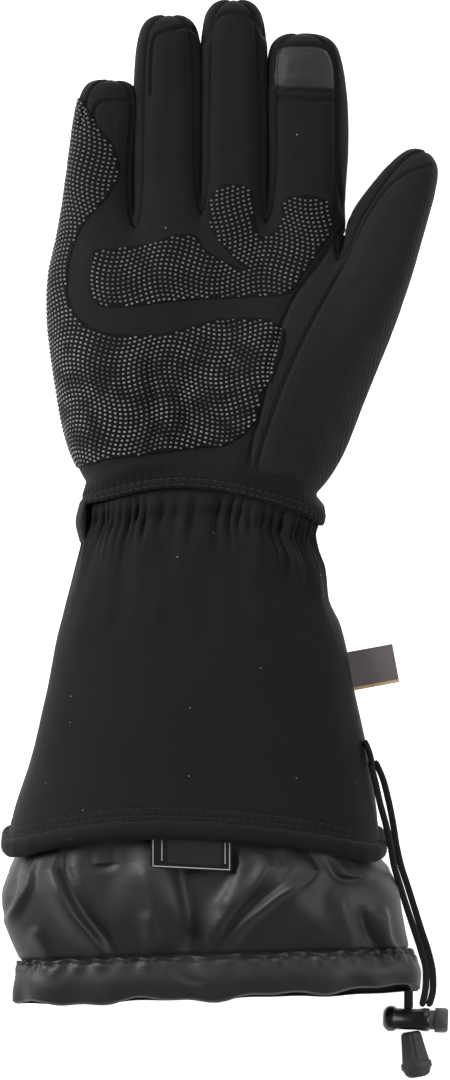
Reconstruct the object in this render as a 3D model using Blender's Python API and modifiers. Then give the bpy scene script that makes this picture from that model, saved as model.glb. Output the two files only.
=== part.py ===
"""Heated gauntlet glove for the right hand, lying on its back with the palm up.

Metres, +Z up out of the palm, +Y towards the fingers, +X towards the thumb. The origin is on
the surface that the glove rests on, under the middle of the hem where hand and cuff meet.
"""

import math
from collections import namedtuple

import bmesh
import bpy
import numpy as np
from mathutils import Vector
from mathutils.bvhtree import BVHTree

# Driving sizes of the hand
PALM_WIDTH = 0.118
PALM_LENGTH = 0.101
PALM_DEPTH = 0.042
KNUCKLE_DEPTH = 0.033
HAND_WALL = 0.0035
FINGER_DEPTH = 0.026
PINKY_LENGTH = 0.0612
RING_LENGTH = 0.0868
MIDDLE_LENGTH = 0.0930
INDEX_LENGTH = 0.0796
PINKY_WIDTH = 0.0268
RING_WIDTH = 0.0272
MIDDLE_WIDTH = 0.0272
INDEX_WIDTH = 0.0292
FINGERTIP_RISE = 0.006
THUMB_LENGTH = 0.0425
THUMB_SPREAD = 0.0390
THUMB_DEPTH = 0.028
THUMB_ANGLE = math.radians(60)

# Driving sizes of the band, cuff and skirt
BAND_WIDTH = 0.009
BAND_WALL = 0.0028
BAND_PROUD = 0.0008
CUFF_LENGTH = 0.1242
CUFF_WALL = 0.003
CUFF_TUCK = 0.006
WAIST_WIDTH = 0.0924
WAIST_DEPTH = 0.040
HEM_WIDTH = 0.1480
HEM_DEPTH = 0.060
GATHER_DEPTH = 0.0011
ROLL_HEIGHT = 0.0066
ROLL_THICKNESS = 0.0068
SKIRT_LENGTH = 0.0470
SKIRT_TUCK = 0.005
SKIRT_WALL = 0.001
SKIRT_WIDTH = 0.159
SKIRT_DEPTH = 0.056
FOLD_DEPTH = 0.0030
CASING_LENGTH = 0.0175
CASING_WALL = 0.0026
CASING_DEPTH = 0.046
CASING_SLANT = 0.0050

# Driving sizes of the small pieces
PATCH_THICKNESS = 0.0008
STRAP_WIDTH = 0.0165
STRAP_THICKNESS = 0.0016
TAG_LENGTH = 0.0180
TAG_WIDTH = 0.0155
TAG_THICKNESS = 0.0012
TAG_TILT = math.radians(10.5)
LABEL_WIDTH = 0.0324
LABEL_LENGTH = 0.0110
LABEL_THICKNESS = 0.0005
LOOP_WIDTH = 0.0050
LOOP_THICKNESS = 0.0024
LOOP_LENGTH = 0.0070
CORD_DIAMETER = 0.0022
CORD_STEP = 0.0075
LOCK_LENGTH = 0.0186
LOCK_RADIUS = 0.0047
LOCK_RIM = 0.0004
LOCK_TURN = math.radians(-2)
BUTTON_LENGTH = 0.0054
BUTTON_RADIUS = 0.0050
BUTTON_TRAVEL = 0.0018
STEM_RADIUS = 0.0032
STEM_LENGTH = 0.0075
END_LENGTH = 0.0186
END_WIDTH = 0.0124
END_NECK = 0.0080
END_DEPTH = 0.0075
END_TURN = math.radians(10)
END_OFFSET = 0.0017
NECK_WIDTH = 0.0036
NECK_THICKNESS = 0.0020

# Small values
GAP = 0.0003
BELLY_FLAT = 0.0006
CAGE_SWELL = 1.05
SEAM_BEVEL = 15.0
SIDES = 36
FLOOR = 0.0

FABRIC = (0.016, 0.015, 0.0155, 1.0)
TWILL = (0.026, 0.025, 0.0255, 1.0)
GRIP = (0.045, 0.045, 0.046, 1.0)
NYLON = (0.045, 0.042, 0.044, 1.0)
CORD_BLACK = (0.012, 0.011, 0.0115, 1.0)
PLASTIC_BLACK = (0.018, 0.017, 0.0175, 1.0)
PLASTIC_GREY = (0.085, 0.080, 0.083, 1.0)
TOUCH_GREY = (0.070, 0.058, 0.063, 1.0)
LABEL_GREY = (0.050, 0.050, 0.050, 1.0)

# Rows of the palm from the hem band to the knuckles. along is a share of PALM_LENGTH, left,
# seam and right are shares of half the PALM_WIDTH, edge is the right outline there and
# edge_along its place, and rise is a share of PALM_DEPTH.
PalmRow = namedtuple("PalmRow", "along left seam right edge edge_along rise")
PALM_ROWS = (
    PalmRow(0.000, -0.800, 0.280, 0.640, 0.825, 0.000, 0.98),
    PalmRow(0.130, -0.910, 0.300, 0.740, 0.975, 0.100, 1.00),
    PalmRow(0.285, -0.978, 0.355, 0.840, 1.100, 0.235, 1.04),
    PalmRow(0.470, -1.030, 0.415, 0.930, 1.240, 0.400, 1.06),
    PalmRow(0.670, -1.075, 0.525, 0.970, 1.330, 0.640, 1.00),
    PalmRow(0.880, -1.065, 0.715, 0.930, 0.975, 1.010, 0.90),
)

# The knuckle row: one column a point, left to right, x in shares of half the PALM_WIDTH,
# along in shares of PALM_LENGTH, rise in shares of KNUCKLE_DEPTH.
Knuckle = namedtuple("Knuckle", "x along rise")
KNUCKLES = (
    Knuckle(-0.915, 0.985, 0.80),
    Knuckle(-0.720, 0.985, 1.02),
    Knuckle(-0.447, 0.995, 0.90),
    Knuckle(-0.225, 1.030, 1.06),
    Knuckle(-0.007, 1.055, 0.94),
    Knuckle(0.210, 1.030, 1.06),
    Knuckle(0.423, 1.010, 0.92),
    Knuckle(0.690, 1.040, 1.04),
    Knuckle(0.900, 1.105, 0.80),
)
PINKY_OUTLINE = Knuckle(-1.005, 0.985, 0.45)
INDEX_OUTLINE = Knuckle(0.990, 1.150, 0.45)
CROTCHES = (
    Knuckle(-0.447, 1.010, 0.45),
    Knuckle(-0.007, 1.075, 0.45),
    Knuckle(0.423, 1.025, 0.45),
)
# How the columns between the left corner and the thumb seam share that width, and how high
# each column of the palm stands.
COLUMN_SHARES = (0.0, 0.155, 0.308, 0.444, 0.579, 0.710, 0.842, 1.0)
COLUMN_RISE = (0.84, 0.96, 1.0, 1.0, 0.97, 0.96, 0.98, 1.03, 0.93)
SIDE_RISE = 0.44

# A finger's centreline starts at root and ends at tip, in shares of half the PALM_WIDTH. The
# padded back panel bulges past it on the thumb's side by the last column.
Finger = namedtuple("Finger", "name root tip length width depth bulge")
FINGERS = (
    Finger("pinky", -0.743, -0.612, PINKY_LENGTH, PINKY_WIDTH, 0.90, 1.0),
    Finger("ring", -0.240, -0.224, RING_LENGTH, RING_WIDTH, 1.00, 1.0),
    Finger("middle", 0.222, 0.214, MIDDLE_LENGTH, MIDDLE_WIDTH, 1.02, 1.0),
    Finger("index", 0.722, 0.660, INDEX_LENGTH, INDEX_WIDTH, 1.02, 1.27),
)
# Rings of a finger: along is a share of its length, breadth and depth of its width and depth.
FingerRing = namedtuple("FingerRing", "along breadth depth curl")
FINGER_RINGS = (
    FingerRing(0.42, 1.00, 1.00, 0.15),
    FingerRing(0.85, 0.98, 0.95, 0.65),
    FingerRing(0.980, 0.72, 0.66, 0.95),
)
FINGER_CAP = FingerRing(1.030, 0.0, 0.0, 1.0)

# Rings of the thumb from its crotch: along its axis in shares of THUMB_LENGTH and across in
# shares of THUMB_SPREAD, for the inner and the outer side.
ThumbRing = namedtuple("ThumbRing", "inner_along inner_out outer_along outer_out depth rise")
THUMB_RINGS = (
    ThumbRing(0.02, 0.030, -0.42, 1.005, 1.12, 0.56),
    ThumbRing(0.34, 0.065, 0.13, 0.840, 1.00, 0.60),
    ThumbRing(0.66, 0.120, 0.56, 0.735, 0.92, 0.63),
    ThumbRing(0.89, 0.235, 0.85, 0.615, 0.62, 0.66),
)
THUMB_CAP = (1.00, 0.425, 0.67)
THUMB_CROTCH = (0.955, 1.085)

# The front edge of the hand's hem band, as a curve across the wrist: shares of BAND_WIDTH at
# the left end, the middle and the right end.
BAND_LINE = (-0.05, 0.60, -0.75)

# Rows of the cuff. along is a share of CUFF_LENGTH, flare runs from the waist to the hem
# width, lean is a share of half the WAIST_WIDTH, rise runs from the waist to the hem depth.
CuffRow = namedtuple("CuffRow", "along flare lean rise lift gather")
CUFF_ROWS = (
    CuffRow(1.000, 1.000, -0.069, 1.00, 0.030, 0.0),
    CuffRow(0.919, 0.930, -0.050, 0.90, 0.006, 0.0),
    CuffRow(0.744, 0.730, -0.009, 0.76, 0.0, 0.0),
    CuffRow(0.570, 0.575, -0.004, 0.60, 0.0, 0.1),
    CuffRow(0.348, 0.350, -0.004, 0.40, 0.0, 0.4),
    CuffRow(0.268, 0.215, -0.030, 0.30, 0.0, 0.7),
    CuffRow(0.157, 0.110, -0.010, 0.15, 0.0, 1.0),
    CuffRow(0.097, 0.000, -0.020, 0.02, 0.012, 1.0),
    CuffRow(0.030, -0.020, 0.008, -0.02, 0.060, 0.7),
)
# The cuff's lower edge at the front drops from its apex to each side: shares of HEM_WIDTH.
HEM_APEX = -0.15
# How far the hem roll reaches inside the cuff's outer face, in shares of half its thickness.
ROLL_INSIDE = 1.05
HEM_DROP_LEFT = 0.050
HEM_DROP_RIGHT = 0.072

# Rows of the skirt below the roll. along is a share of SKIRT_LENGTH, spread of SKIRT_WIDTH,
# lean of half the SKIRT_WIDTH, rise runs from CASING_DEPTH to SKIRT_DEPTH.
SkirtRow = namedtuple("SkirtRow", "along spread lean rise lift fold")
SKIRT_ROWS = (
    SkirtRow(1.000, 0.978, 0.064, 0.00, 0.000, 0.35),
    SkirtRow(0.860, 0.990, 0.040, 0.35, 0.000, 0.80),
    SkirtRow(0.650, 1.000, 0.010, 0.80, 0.000, 1.00),
    SkirtRow(0.420, 1.000, -0.008, 1.00, 0.000, 1.00),
    SkirtRow(0.200, 0.955, -0.014, 1.02, 0.020, 0.60),
)
# Folds of the skirt across its front: where each crosses the top and the bottom in shares of
# its width, its breadth and its height in shares of FOLD_DEPTH.
Fold = namedtuple("Fold", "top bottom breadth height")
FOLDS = (
    Fold(0.10, 0.22, 0.060, 0.9),
    Fold(0.30, 0.20, 0.050, -0.7),
    Fold(0.36, 0.52, 0.065, 1.0),
    Fold(0.60, 0.44, 0.050, -0.8),
    Fold(0.68, 0.80, 0.060, 1.0),
    Fold(0.88, 0.72, 0.055, -0.8),
)
CasingRow = namedtuple("CasingRow", "along spread lean rise")
CASING_ROWS = (
    CasingRow(1.00, 1.026, 0.080, 0.94),
    CasingRow(0.45, 1.018, 0.078, 1.00),
    CasingRow(0.00, 0.985, 0.066, 0.98),
)

# Outlines on the palm, x in shares of half the PALM_WIDTH and along in shares of PALM_LENGTH.
HEEL_OUTLINE = (
    (-0.76, 1.530), (-0.70, 1.470), (-0.60, 1.365), (-0.565, 1.270), (-0.58, 1.180),
    (-0.67, 1.085), (-0.81, 0.990), (-0.885, 0.885), (-0.905, 0.760), (-0.865, 0.665),
    (-0.745, 0.600), (-0.490, 0.578), (-0.250, 0.582), (0.00, 0.620), (0.39, 0.635),
    (0.575, 0.572), (0.545, 0.490), (0.455, 0.350), (0.395, 0.265), (0.350, 0.195),
    (0.155, 0.130), (-0.350, 0.105), (-0.800, 0.055), (-1.150, 0.060), (-1.300, 0.600),
    (-1.300, 1.200), (-1.050, 1.540),
)
FINGER_OUTLINE = (
    (-0.745, 0.900), (-0.760, 0.770), (-0.720, 0.700), (-0.490, 0.690), (0.00, 0.715),
    (0.390, 0.728), (0.590, 0.745), (0.690, 0.810), (0.770, 0.895), (0.860, 0.980),
    (0.875, 1.105), (0.760, 1.140), (0.600, 1.120), (0.535, 1.040), (0.420, 0.965),
    (0.360, 1.060), (0.330, 1.180), (0.250, 1.230), (0.110, 1.200), (0.050, 1.080),
    (-0.050, 0.980), (-0.300, 0.950), (-0.560, 0.930),
)
TOUCH_OUTLINE = (
    (0.500, 1.700), (0.505, 1.660), (0.780, 1.630), (0.900, 1.640), (0.915, 1.760),
    (0.880, 1.830), (0.780, 1.870), (0.640, 1.870), (0.540, 1.830), (0.505, 1.760),
)

# Free cords, chosen point by point from the anchor loop at the cuff's side to the lock.
INNER_CORD = (
    (0.0672, -0.1030, 0.0335), (0.0692, -0.1110, 0.0330), (0.0712, -0.1200, 0.0320),
    (0.0735, -0.1285, 0.0308), (0.0754, -0.1370, 0.0286), (0.0768, -0.1450, 0.0242),
    (0.0792, -0.1530, 0.0182), (0.0820, -0.1620, 0.0116), (0.0850, -0.1710, 0.0060),
    (0.0876, -0.1790, 0.0028), (0.0896, -0.1870, 0.0022), (0.0894, -0.1945, 0.0034),
    (0.0880, -0.2014, 0.0050),
)
OUTER_CORD = (
    (0.0692, -0.1030, 0.0304), (0.0724, -0.1105, 0.0300), (0.0746, -0.1190, 0.0290),
    (0.0764, -0.1280, 0.0276), (0.0778, -0.1370, 0.0248), (0.0796, -0.1450, 0.0200),
    (0.0822, -0.1530, 0.0140), (0.0850, -0.1620, 0.0078), (0.0878, -0.1710, 0.0030),
    (0.0904, -0.1790, 0.0014), (0.0922, -0.1870, 0.0014), (0.0924, -0.1945, 0.0032),
    (0.0907, -0.2014, 0.0050),
)

LOCK_CENTRE = (0.0817, -0.2064)
NECK_X = 0.0826

PALM_PANEL, BACK_PANEL, SIDE_PANEL, THUMB_PANEL, THUMB_BACK, THUMB_GUSSET = range(6)
FOURCHETTES = (6, 7, 8)
PANEL_NAMES = {
    PALM_PANEL: "palm_panel",
    BACK_PANEL: "back_panel",
    SIDE_PANEL: "pinky_side_panel",
    THUMB_PANEL: "thumb_panel",
    THUMB_BACK: "thumb_back_panel",
    THUMB_GUSSET: "thumb_gusset",
    FOURCHETTES[0]: "fourchette_pinky_ring",
    FOURCHETTES[1]: "fourchette_ring_middle",
    FOURCHETTES[2]: "fourchette_middle_index",
}

HALF_PALM = PALM_WIDTH / 2
TOP_COLUMNS = 9
RIGHT_MID = 9
LEFT_MID = 19


def clear_scene():
    """Remove every object that the new file starts with."""
    for obj in list(bpy.data.objects):
        bpy.data.objects.remove(obj)


def material(name, color, roughness, metallic=0.0):
    """A plain surface finish for one piece."""
    mat = bpy.data.materials.new(name)
    mat.use_nodes = True
    shader = mat.node_tree.nodes["Principled BSDF"]
    shader.inputs["Base Color"].default_value = color
    shader.inputs["Roughness"].default_value = roughness
    shader.inputs["Metallic"].default_value = metallic
    return mat


def add_object(name, mesh, collection, color, roughness=0.8):
    """Link a mesh to the glove as one named piece with its own finish."""
    obj = bpy.data.objects.new(name, mesh)
    collection.objects.link(obj)
    mesh.materials.clear()
    mesh.materials.append(material(name + "_finish", color, roughness))
    return obj


def evaluated_mesh(obj):
    """The mesh of an object with its modifiers applied, in world space."""
    graph = bpy.context.evaluated_depsgraph_get()
    mesh = bpy.data.meshes.new_from_object(obj.evaluated_get(graph))
    mesh.transform(obj.matrix_world)
    return mesh


def smooth_step(value):
    """0 below 0, 1 above 1 and a soft rise between."""
    value = np.clip(value, 0.0, 1.0)
    return value * value * (3 - 2 * value)


def band_line(x, frontness):
    """Where the hand's lower edge runs: straight at the back, curved across the front."""
    left, middle, right = BAND_LINE
    share = x / (WAIST_WIDTH / 2)
    bend = (left + right) / 2 - middle
    slope = (right - left) / 2
    curve = (middle + slope * share + bend * share * share) * BAND_WIDTH
    return -BAND_WIDTH / 2 + frontness * (curve + BAND_WIDTH / 2)


def palm_top(row, column, crown):
    """Height of the palm at one column of a row."""
    return PALM_DEPTH * row.rise * crown


def palm_ring(bm, row):
    """One closed row of the palm's cage: over the top from left to right and back below."""
    left, seam, right = (share * HALF_PALM for share in (row.left, row.seam, row.right))
    corner = left * 0.88
    xs = [corner + share * (seam - corner) for share in COLUMN_SHARES] + [right]
    start = BAND_WIDTH + 3 * GAP

    def place(x, along, z):
        fade = 1 - smooth_step(along / 0.4)
        edge = band_line(x, float(smooth_step(z / (0.6 * PALM_DEPTH)))) * fade
        y = start + edge + along * PALM_LENGTH
        y += (1 - fade) * -BAND_WIDTH / 2
        return bm.verts.new((x, y, z))

    ring = [
        place(x, row.along, palm_top(row, c, COLUMN_RISE[c])) for c, x in enumerate(xs)
    ]
    side = PALM_DEPTH * SIDE_RISE
    ring.append(place(row.edge * HALF_PALM * 1.02, row.edge_along, side))
    for c in reversed(range(TOP_COLUMNS)):
        ring.append(place(xs[c] * 0.97, row.along, FLOOR))
    ring.append(place(left * 1.035, row.along, side))
    return ring


def knuckle_vert(bm, knuckle, z):
    """A point of the knuckle row."""
    y = BAND_WIDTH / 2 + GAP + knuckle.along * PALM_LENGTH
    return bm.verts.new((knuckle.x * HALF_PALM, y, z))


def knuckle_ring(bm):
    """The last row of the palm, which the fingers grow from."""
    ring = [knuckle_vert(bm, k, k.rise * KNUCKLE_DEPTH) for k in KNUCKLES]
    ring.append(knuckle_vert(bm, INDEX_OUTLINE, INDEX_OUTLINE.rise * KNUCKLE_DEPTH))
    ring += [knuckle_vert(bm, k, FLOOR) for k in reversed(KNUCKLES)]
    ring.append(knuckle_vert(bm, PINKY_OUTLINE, PINKY_OUTLINE.rise * KNUCKLE_DEPTH))
    return ring


def boxy_ring(bm, centre, across, half_width, half_depth, bulge=1.0):
    """Eight points round a finger: a rounded box seen along the finger."""
    shape = (
        (-0.80, 0.84), (0, 1), (0.80, 0.84), (1, 0),
        (0.80, -0.84), (0, -1), (-0.80, -0.84), (-1, 0),
    )
    up = Vector((0, 0, 1))
    ring = []
    for x, z in shape:
        reach = x * half_width * CAGE_SWELL * (bulge if x > 0 else 1.0)
        point = centre + across * reach + up * (z * half_depth * CAGE_SWELL)
        point.z = max(point.z, FLOOR)
        ring.append(bm.verts.new(point))
    return ring


def skin(bm, ring_a, ring_b, tags):
    """Quads between two rings of the same count, with each face tagged by its panel."""
    count = len(ring_a)
    for k in range(count):
        nxt = (k + 1) % count
        face = bm.faces.new((ring_a[k], ring_a[nxt], ring_b[nxt], ring_b[k]))
        face.material_index = tags[k]


def cap_tip(bm, ring, point, tags):
    """Four quads that close a finger on one point."""
    centre = bm.verts.new(point)
    for k in range(0, 8, 2):
        face = bm.faces.new((ring[k], ring[k + 1], ring[(k + 2) % 8], centre))
        face.material_index = tags[k]


def grow_finger(bm, base, finger, tags):
    """One finger from its base ring to its closed tip."""
    root_y = BAND_WIDTH / 2 + GAP + PALM_LENGTH * 1.02
    root = Vector((finger.root * HALF_PALM, root_y, 0))
    tip = Vector((finger.tip * HALF_PALM, root_y + finger.length, 0))
    axis = (tip - root).normalized()
    across = Vector((axis.y, -axis.x, 0))
    half_depth = FINGER_DEPTH * finger.depth / 2
    last = base
    for row in FINGER_RINGS:
        centre = root.lerp(tip, row.along)
        centre.z = half_depth + row.curl * FINGERTIP_RISE
        ring = boxy_ring(
            bm, centre, across, finger.width * row.breadth / 2, half_depth * row.depth,
            finger.bulge,
        )
        skin(bm, last, ring, tags)
        last = ring
    cap = root.lerp(tip, FINGER_CAP.along)
    cap.z = half_depth + FINGERTIP_RISE
    cap_tip(bm, last, cap, tags)


def grow_thumb(bm, base, tags):
    """The thumb from the opening in the palm's right side to its closed tip."""
    x, along = THUMB_CROTCH
    crotch = Vector((x * HALF_PALM, BAND_WIDTH / 2 + along * PALM_LENGTH, 0))
    axis = Vector((math.cos(THUMB_ANGLE), math.sin(THUMB_ANGLE), 0))
    out = Vector((axis.y, -axis.x, 0))
    last = base
    for row in THUMB_RINGS:
        inner = crotch + axis * row.inner_along * THUMB_LENGTH + out * row.inner_out * THUMB_SPREAD
        outer = crotch + axis * row.outer_along * THUMB_LENGTH + out * row.outer_out * THUMB_SPREAD
        centre = (inner + outer) / 2
        centre.z = row.rise * PALM_DEPTH
        across = outer - inner
        ring = boxy_ring(
            bm, centre, across.normalized(), across.length / 2, THUMB_DEPTH * row.depth / 2
        )
        skin(bm, last, ring, tags)
        last = ring
    along, spread, rise = THUMB_CAP
    cap = crotch + axis * along * THUMB_LENGTH + out * spread * THUMB_SPREAD
    cap.z = rise * PALM_DEPTH
    cap_tip(bm, last, cap, tags)


def palm_tag(row, column):
    """The panel that a face of the palm belongs to."""
    if column < 7 or (column == 7 and row == 5):
        return PALM_PANEL
    if column == 7 or (column in (8, 9) and row < 3):
        return THUMB_PANEL
    if column in (8, 9):
        return BACK_PANEL
    if column < 18:
        return BACK_PANEL
    return SIDE_PANEL


def hand_cage():
    """The whole hand as one coarse cage, open at the wrist, its faces tagged by panel."""
    bm = bmesh.new()
    rows = [palm_ring(bm, row) for row in PALM_ROWS] + [knuckle_ring(bm)]
    thumb_rows = (3, 4)
    removed = rows[4][RIGHT_MID]
    for r in range(len(rows) - 1):
        for c in range(20):
            if r in thumb_rows and c in (8, 9):
                continue
            nxt = (c + 1) % 20
            face = bm.faces.new((rows[r][c], rows[r][nxt], rows[r + 1][nxt], rows[r + 1][c]))
            face.material_index = palm_tag(r, c)
    bm.verts.remove(removed)
    thumb_base = (
        rows[5][8], rows[4][8], rows[3][8], rows[3][9],
        rows[3][10], rows[4][10], rows[5][10], rows[5][9],
    )
    grow_thumb(bm, thumb_base, (
        THUMB_PANEL, THUMB_PANEL, THUMB_PANEL, THUMB_PANEL,
        THUMB_BACK, THUMB_BACK, THUMB_GUSSET, THUMB_GUSSET,
    ))
    knuckles = rows[6]
    crotches = [knuckle_vert(bm, k, k.rise * KNUCKLE_DEPTH) for k in CROTCHES]
    middles = [knuckles[LEFT_MID]] + crotches + [knuckles[RIGHT_MID]]
    left_tags = (SIDE_PANEL,) + FOURCHETTES
    right_tags = FOURCHETTES + (BACK_PANEL,)
    for i, finger in enumerate(FINGERS):
        top = 2 * i
        base = (
            knuckles[top], knuckles[top + 1], knuckles[top + 2], middles[i + 1],
            knuckles[18 - top - 2], knuckles[18 - top - 1], knuckles[18 - top], middles[i],
        )
        left, right = left_tags[i], right_tags[i]
        tags = (PALM_PANEL, PALM_PANEL, right, right, BACK_PANEL, BACK_PANEL, left, left)
        grow_finger(bm, base, finger, tags)
    return bm


def smooth_hand(collection):
    """The cage with one round of subdivision, flattened where it rests."""
    mesh = bpy.data.meshes.new("hand_form")
    cage = hand_cage()
    cage.to_mesh(mesh)
    cage.free()
    for name in PANEL_NAMES.values():
        mesh.materials.append(bpy.data.materials.new(name + "_tag"))
    form = bpy.data.objects.new("hand_form", mesh)
    collection.objects.link(form)
    form.hide_render = True
    form.display_type = "WIRE"
    rounds = form.modifiers.new("rounds", "SUBSURF")
    rounds.levels = rounds.render_levels = 1
    bpy.context.view_layer.update()
    smooth = evaluated_mesh(form)
    bpy.data.objects.remove(form)
    bm = bmesh.new()
    bm.from_mesh(smooth)
    for vert in bm.verts:
        vert.co.z = max(vert.co.z, FLOOR)
    bmesh.ops.triangulate(bm, faces=bm.faces)
    bm.to_mesh(smooth)
    bm.free()
    return smooth


def edge_insets(faces, verts):
    """For each border point of a panel, how far it draws back so that seams stay clear."""
    borders = {}
    uses = {}
    for face in faces:
        for a, b in zip(face, face[1:] + face[:1]):
            uses[frozenset((a, b))] = uses.get(frozenset((a, b)), 0) + 1
    for face in faces:
        normal = (verts[face[1]] - verts[face[0]]).cross(verts[face[2]] - verts[face[0]])
        for a, b in zip(face, face[1:] + face[:1]):
            if uses[frozenset((a, b))] == 1:
                inward = normal.cross(verts[b] - verts[a]).normalized()
                borders.setdefault(a, []).append(inward)
                borders.setdefault(b, []).append(inward)
    insets = {}
    for vert, pulls in borders.items():
        total = sum(pulls, Vector())
        if len(pulls) == 2:
            total = total / max(0.5, 1 + pulls[0].dot(pulls[1]))
        insets[vert] = total * GAP / 2
    return insets


def panel_mesh(smooth, tag, name):
    """One sewn panel of the hand: its outer face, its inner face and the cut edge between."""
    verts = [v.co.copy() for v in smooth.vertices]
    normals = [v.normal.copy() for v in smooth.vertices]
    faces = [list(p.vertices) for p in smooth.polygons if p.material_index == tag]
    insets = edge_insets(faces, verts)
    used = sorted({v for face in faces for v in face})
    bm = bmesh.new()
    outer, inner = {}, {}
    for v in used:
        inset = insets.get(v, Vector())
        deep = verts[v] - normals[v] * HAND_WALL
        if verts[v].z < GAP:
            deep.z = verts[v].z + HAND_WALL
        deep += inset * (1 + SEAM_BEVEL)
        place = verts[v] + inset
        place.z = max(place.z, FLOOR)
        outer[v] = bm.verts.new(place)
        inner[v] = bm.verts.new(deep)
    borders = {}
    for face in faces:
        bm.faces.new([outer[v] for v in face])
        bm.faces.new([inner[v] for v in reversed(face)])
        for a, b in zip(face, face[1:] + face[:1]):
            key = frozenset((a, b))
            borders[key] = None if key in borders else (a, b)
    for pair in borders.values():
        if pair:
            a, b = pair
            bm.faces.new((outer[b], outer[a], inner[a], inner[b]))
    mesh = bpy.data.meshes.new(name)
    bm.to_mesh(mesh)
    bm.free()
    return mesh


def build_hand(collection, guides):
    """The nine sewn panels of the hand."""
    smooth = smooth_hand(guides)
    for tag, name in PANEL_NAMES.items():
        color = TWILL if "thumb" in name else FABRIC
        add_object(name, panel_mesh(smooth, tag, name), collection, color, 0.85)
    return smooth


def slab_over(smooth, name):
    """A closed slab that floats just clear of the palm side of the hand."""
    bm = bmesh.new()
    low, high = {}, {}
    count = {}
    keep = []
    for p in smooth.polygons:
        wraps = p.material_index == SIDE_PANEL and p.normal.z > -0.05
        if p.normal.z > 0.25 or wraps:
            keep.append(list(p.vertices))
    for face in keep:
        for v in face:
            if v not in low:
                base, normal = smooth.vertices[v].co, smooth.vertices[v].normal
                low[v] = bm.verts.new(base + normal * GAP)
                high[v] = bm.verts.new(base + normal * (GAP + PATCH_THICKNESS))
        bm.faces.new([high[v] for v in face])
        bm.faces.new([low[v] for v in reversed(face)])
        for a, b in zip(face, face[1:] + face[:1]):
            key = frozenset((a, b))
            count[key] = None if key in count else (a, b)
    for pair in count.values():
        if pair:
            a, b = pair
            bm.faces.new((high[b], high[a], low[a], low[b]))
    mesh = bpy.data.meshes.new(name)
    bm.to_mesh(mesh)
    bm.free()
    return mesh


def prism(outline, name, guides):
    """An upright prism on an outline given in shares of the palm."""
    bm = bmesh.new()
    y0 = BAND_WIDTH / 2 + GAP
    points = [(x * HALF_PALM, y0 + along * PALM_LENGTH) for x, along in outline]
    bottom = [bm.verts.new((x, y, -PALM_DEPTH)) for x, y in points]
    face = bm.faces.new(bottom)
    grown = bmesh.ops.extrude_face_region(bm, geom=[face])
    top = [e for e in grown["geom"] if isinstance(e, bmesh.types.BMVert)]
    bmesh.ops.translate(bm, verts=top, vec=(0, 0, 3 * PALM_DEPTH))
    bmesh.ops.recalc_face_normals(bm, faces=bm.faces)
    mesh = bpy.data.meshes.new(name)
    bm.to_mesh(mesh)
    bm.free()
    obj = bpy.data.objects.new(name, mesh)
    guides.objects.link(obj)
    obj.hide_render = True
    obj.display_type = "WIRE"
    return obj


def build_patch(name, smooth, outline, collection, guides, color):
    """A thin printed patch that follows the palm inside an outline."""
    patch = add_object(name, slab_over(smooth, name), collection, color, 0.6)
    cutter = prism(outline, name + "_outline", guides)
    cut = patch.modifiers.new("outline", "BOOLEAN")
    cut.operation = "INTERSECT"
    cut.object = cutter
    cut.use_self = True
    return patch


def section(left, right, bottom, top, sides=SIDES):
    """One rounded cross-section, from the left side over the top to the right and back."""
    turn = math.pi - 2 * math.pi * np.arange(sides) / sides
    cosine, sine = np.cos(turn), np.sin(turn)
    x = (left + right) / 2 + (right - left) / 2 * np.sign(cosine) * np.abs(cosine) ** 0.80
    lower = np.sign(sine) * np.abs(sine) ** np.where(sine > 0, 0.80, 0.42)
    z = bottom + (top - bottom) * (0.46 + np.where(sine > 0, 0.54, 0.46) * lower)
    return x, np.maximum(z - BELLY_FLAT, bottom)


def section_normals(x, z):
    """Outward directions of a closed section."""
    along_x = np.roll(x, -1) - np.roll(x, 1)
    along_z = np.roll(z, -1) - np.roll(z, 1)
    size = np.hypot(along_x, along_z)
    return -along_z / size, along_x / size


def frontness_of(z, bottom, top):
    """How far up a section a point is, from 0 at the back to 1 at the front."""
    return smooth_step((z - bottom) / (0.75 * (top - bottom)))


def tube_object(name, rings, wall, collection, color, roughness=0.8):
    """A cloth tube through its outer rings, with a wall set inwards."""
    sides = len(rings[0])
    bm = bmesh.new()
    walls = []
    for ring in rings:
        x, y, z = ring[:, 0], ring[:, 1], ring[:, 2]
        nx, nz = section_normals(x, z)
        deep = np.stack([x - nx * wall, y, z - nz * wall], axis=1)
        walls.append(
            ([bm.verts.new(p) for p in ring], [bm.verts.new(p) for p in deep])
        )
    for (out_a, in_a), (out_b, in_b) in zip(walls, walls[1:]):
        for k in range(sides):
            n = (k + 1) % sides
            bm.faces.new((out_a[k], out_a[n], out_b[n], out_b[k]))
            bm.faces.new((in_a[k], in_b[k], in_b[n], in_a[n]))
    for (out, deep), flip in ((walls[0], False), (walls[-1], True)):
        for k in range(sides):
            n = (k + 1) % sides
            quad = (out[k], deep[k], deep[n], out[n])
            bm.faces.new(quad[::-1] if flip else quad)
    mesh = bpy.data.meshes.new(name)
    bm.to_mesh(mesh)
    bm.free()
    mesh.shade_smooth()
    mesh.set_sharp_from_angle(angle=math.radians(50))
    return add_object(name, mesh, collection, color, roughness)


def pushed(x, z, amount):
    """A section moved along its own outward directions."""
    nx, nz = section_normals(x, z)
    return x + nx * amount, z + nz * amount


def band_edge():
    """Left, right and top of the hand where it meets its hem band."""
    row = PALM_ROWS[0]
    return row.left * HALF_PALM, row.edge * HALF_PALM, PALM_DEPTH * row.rise * 0.985


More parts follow.
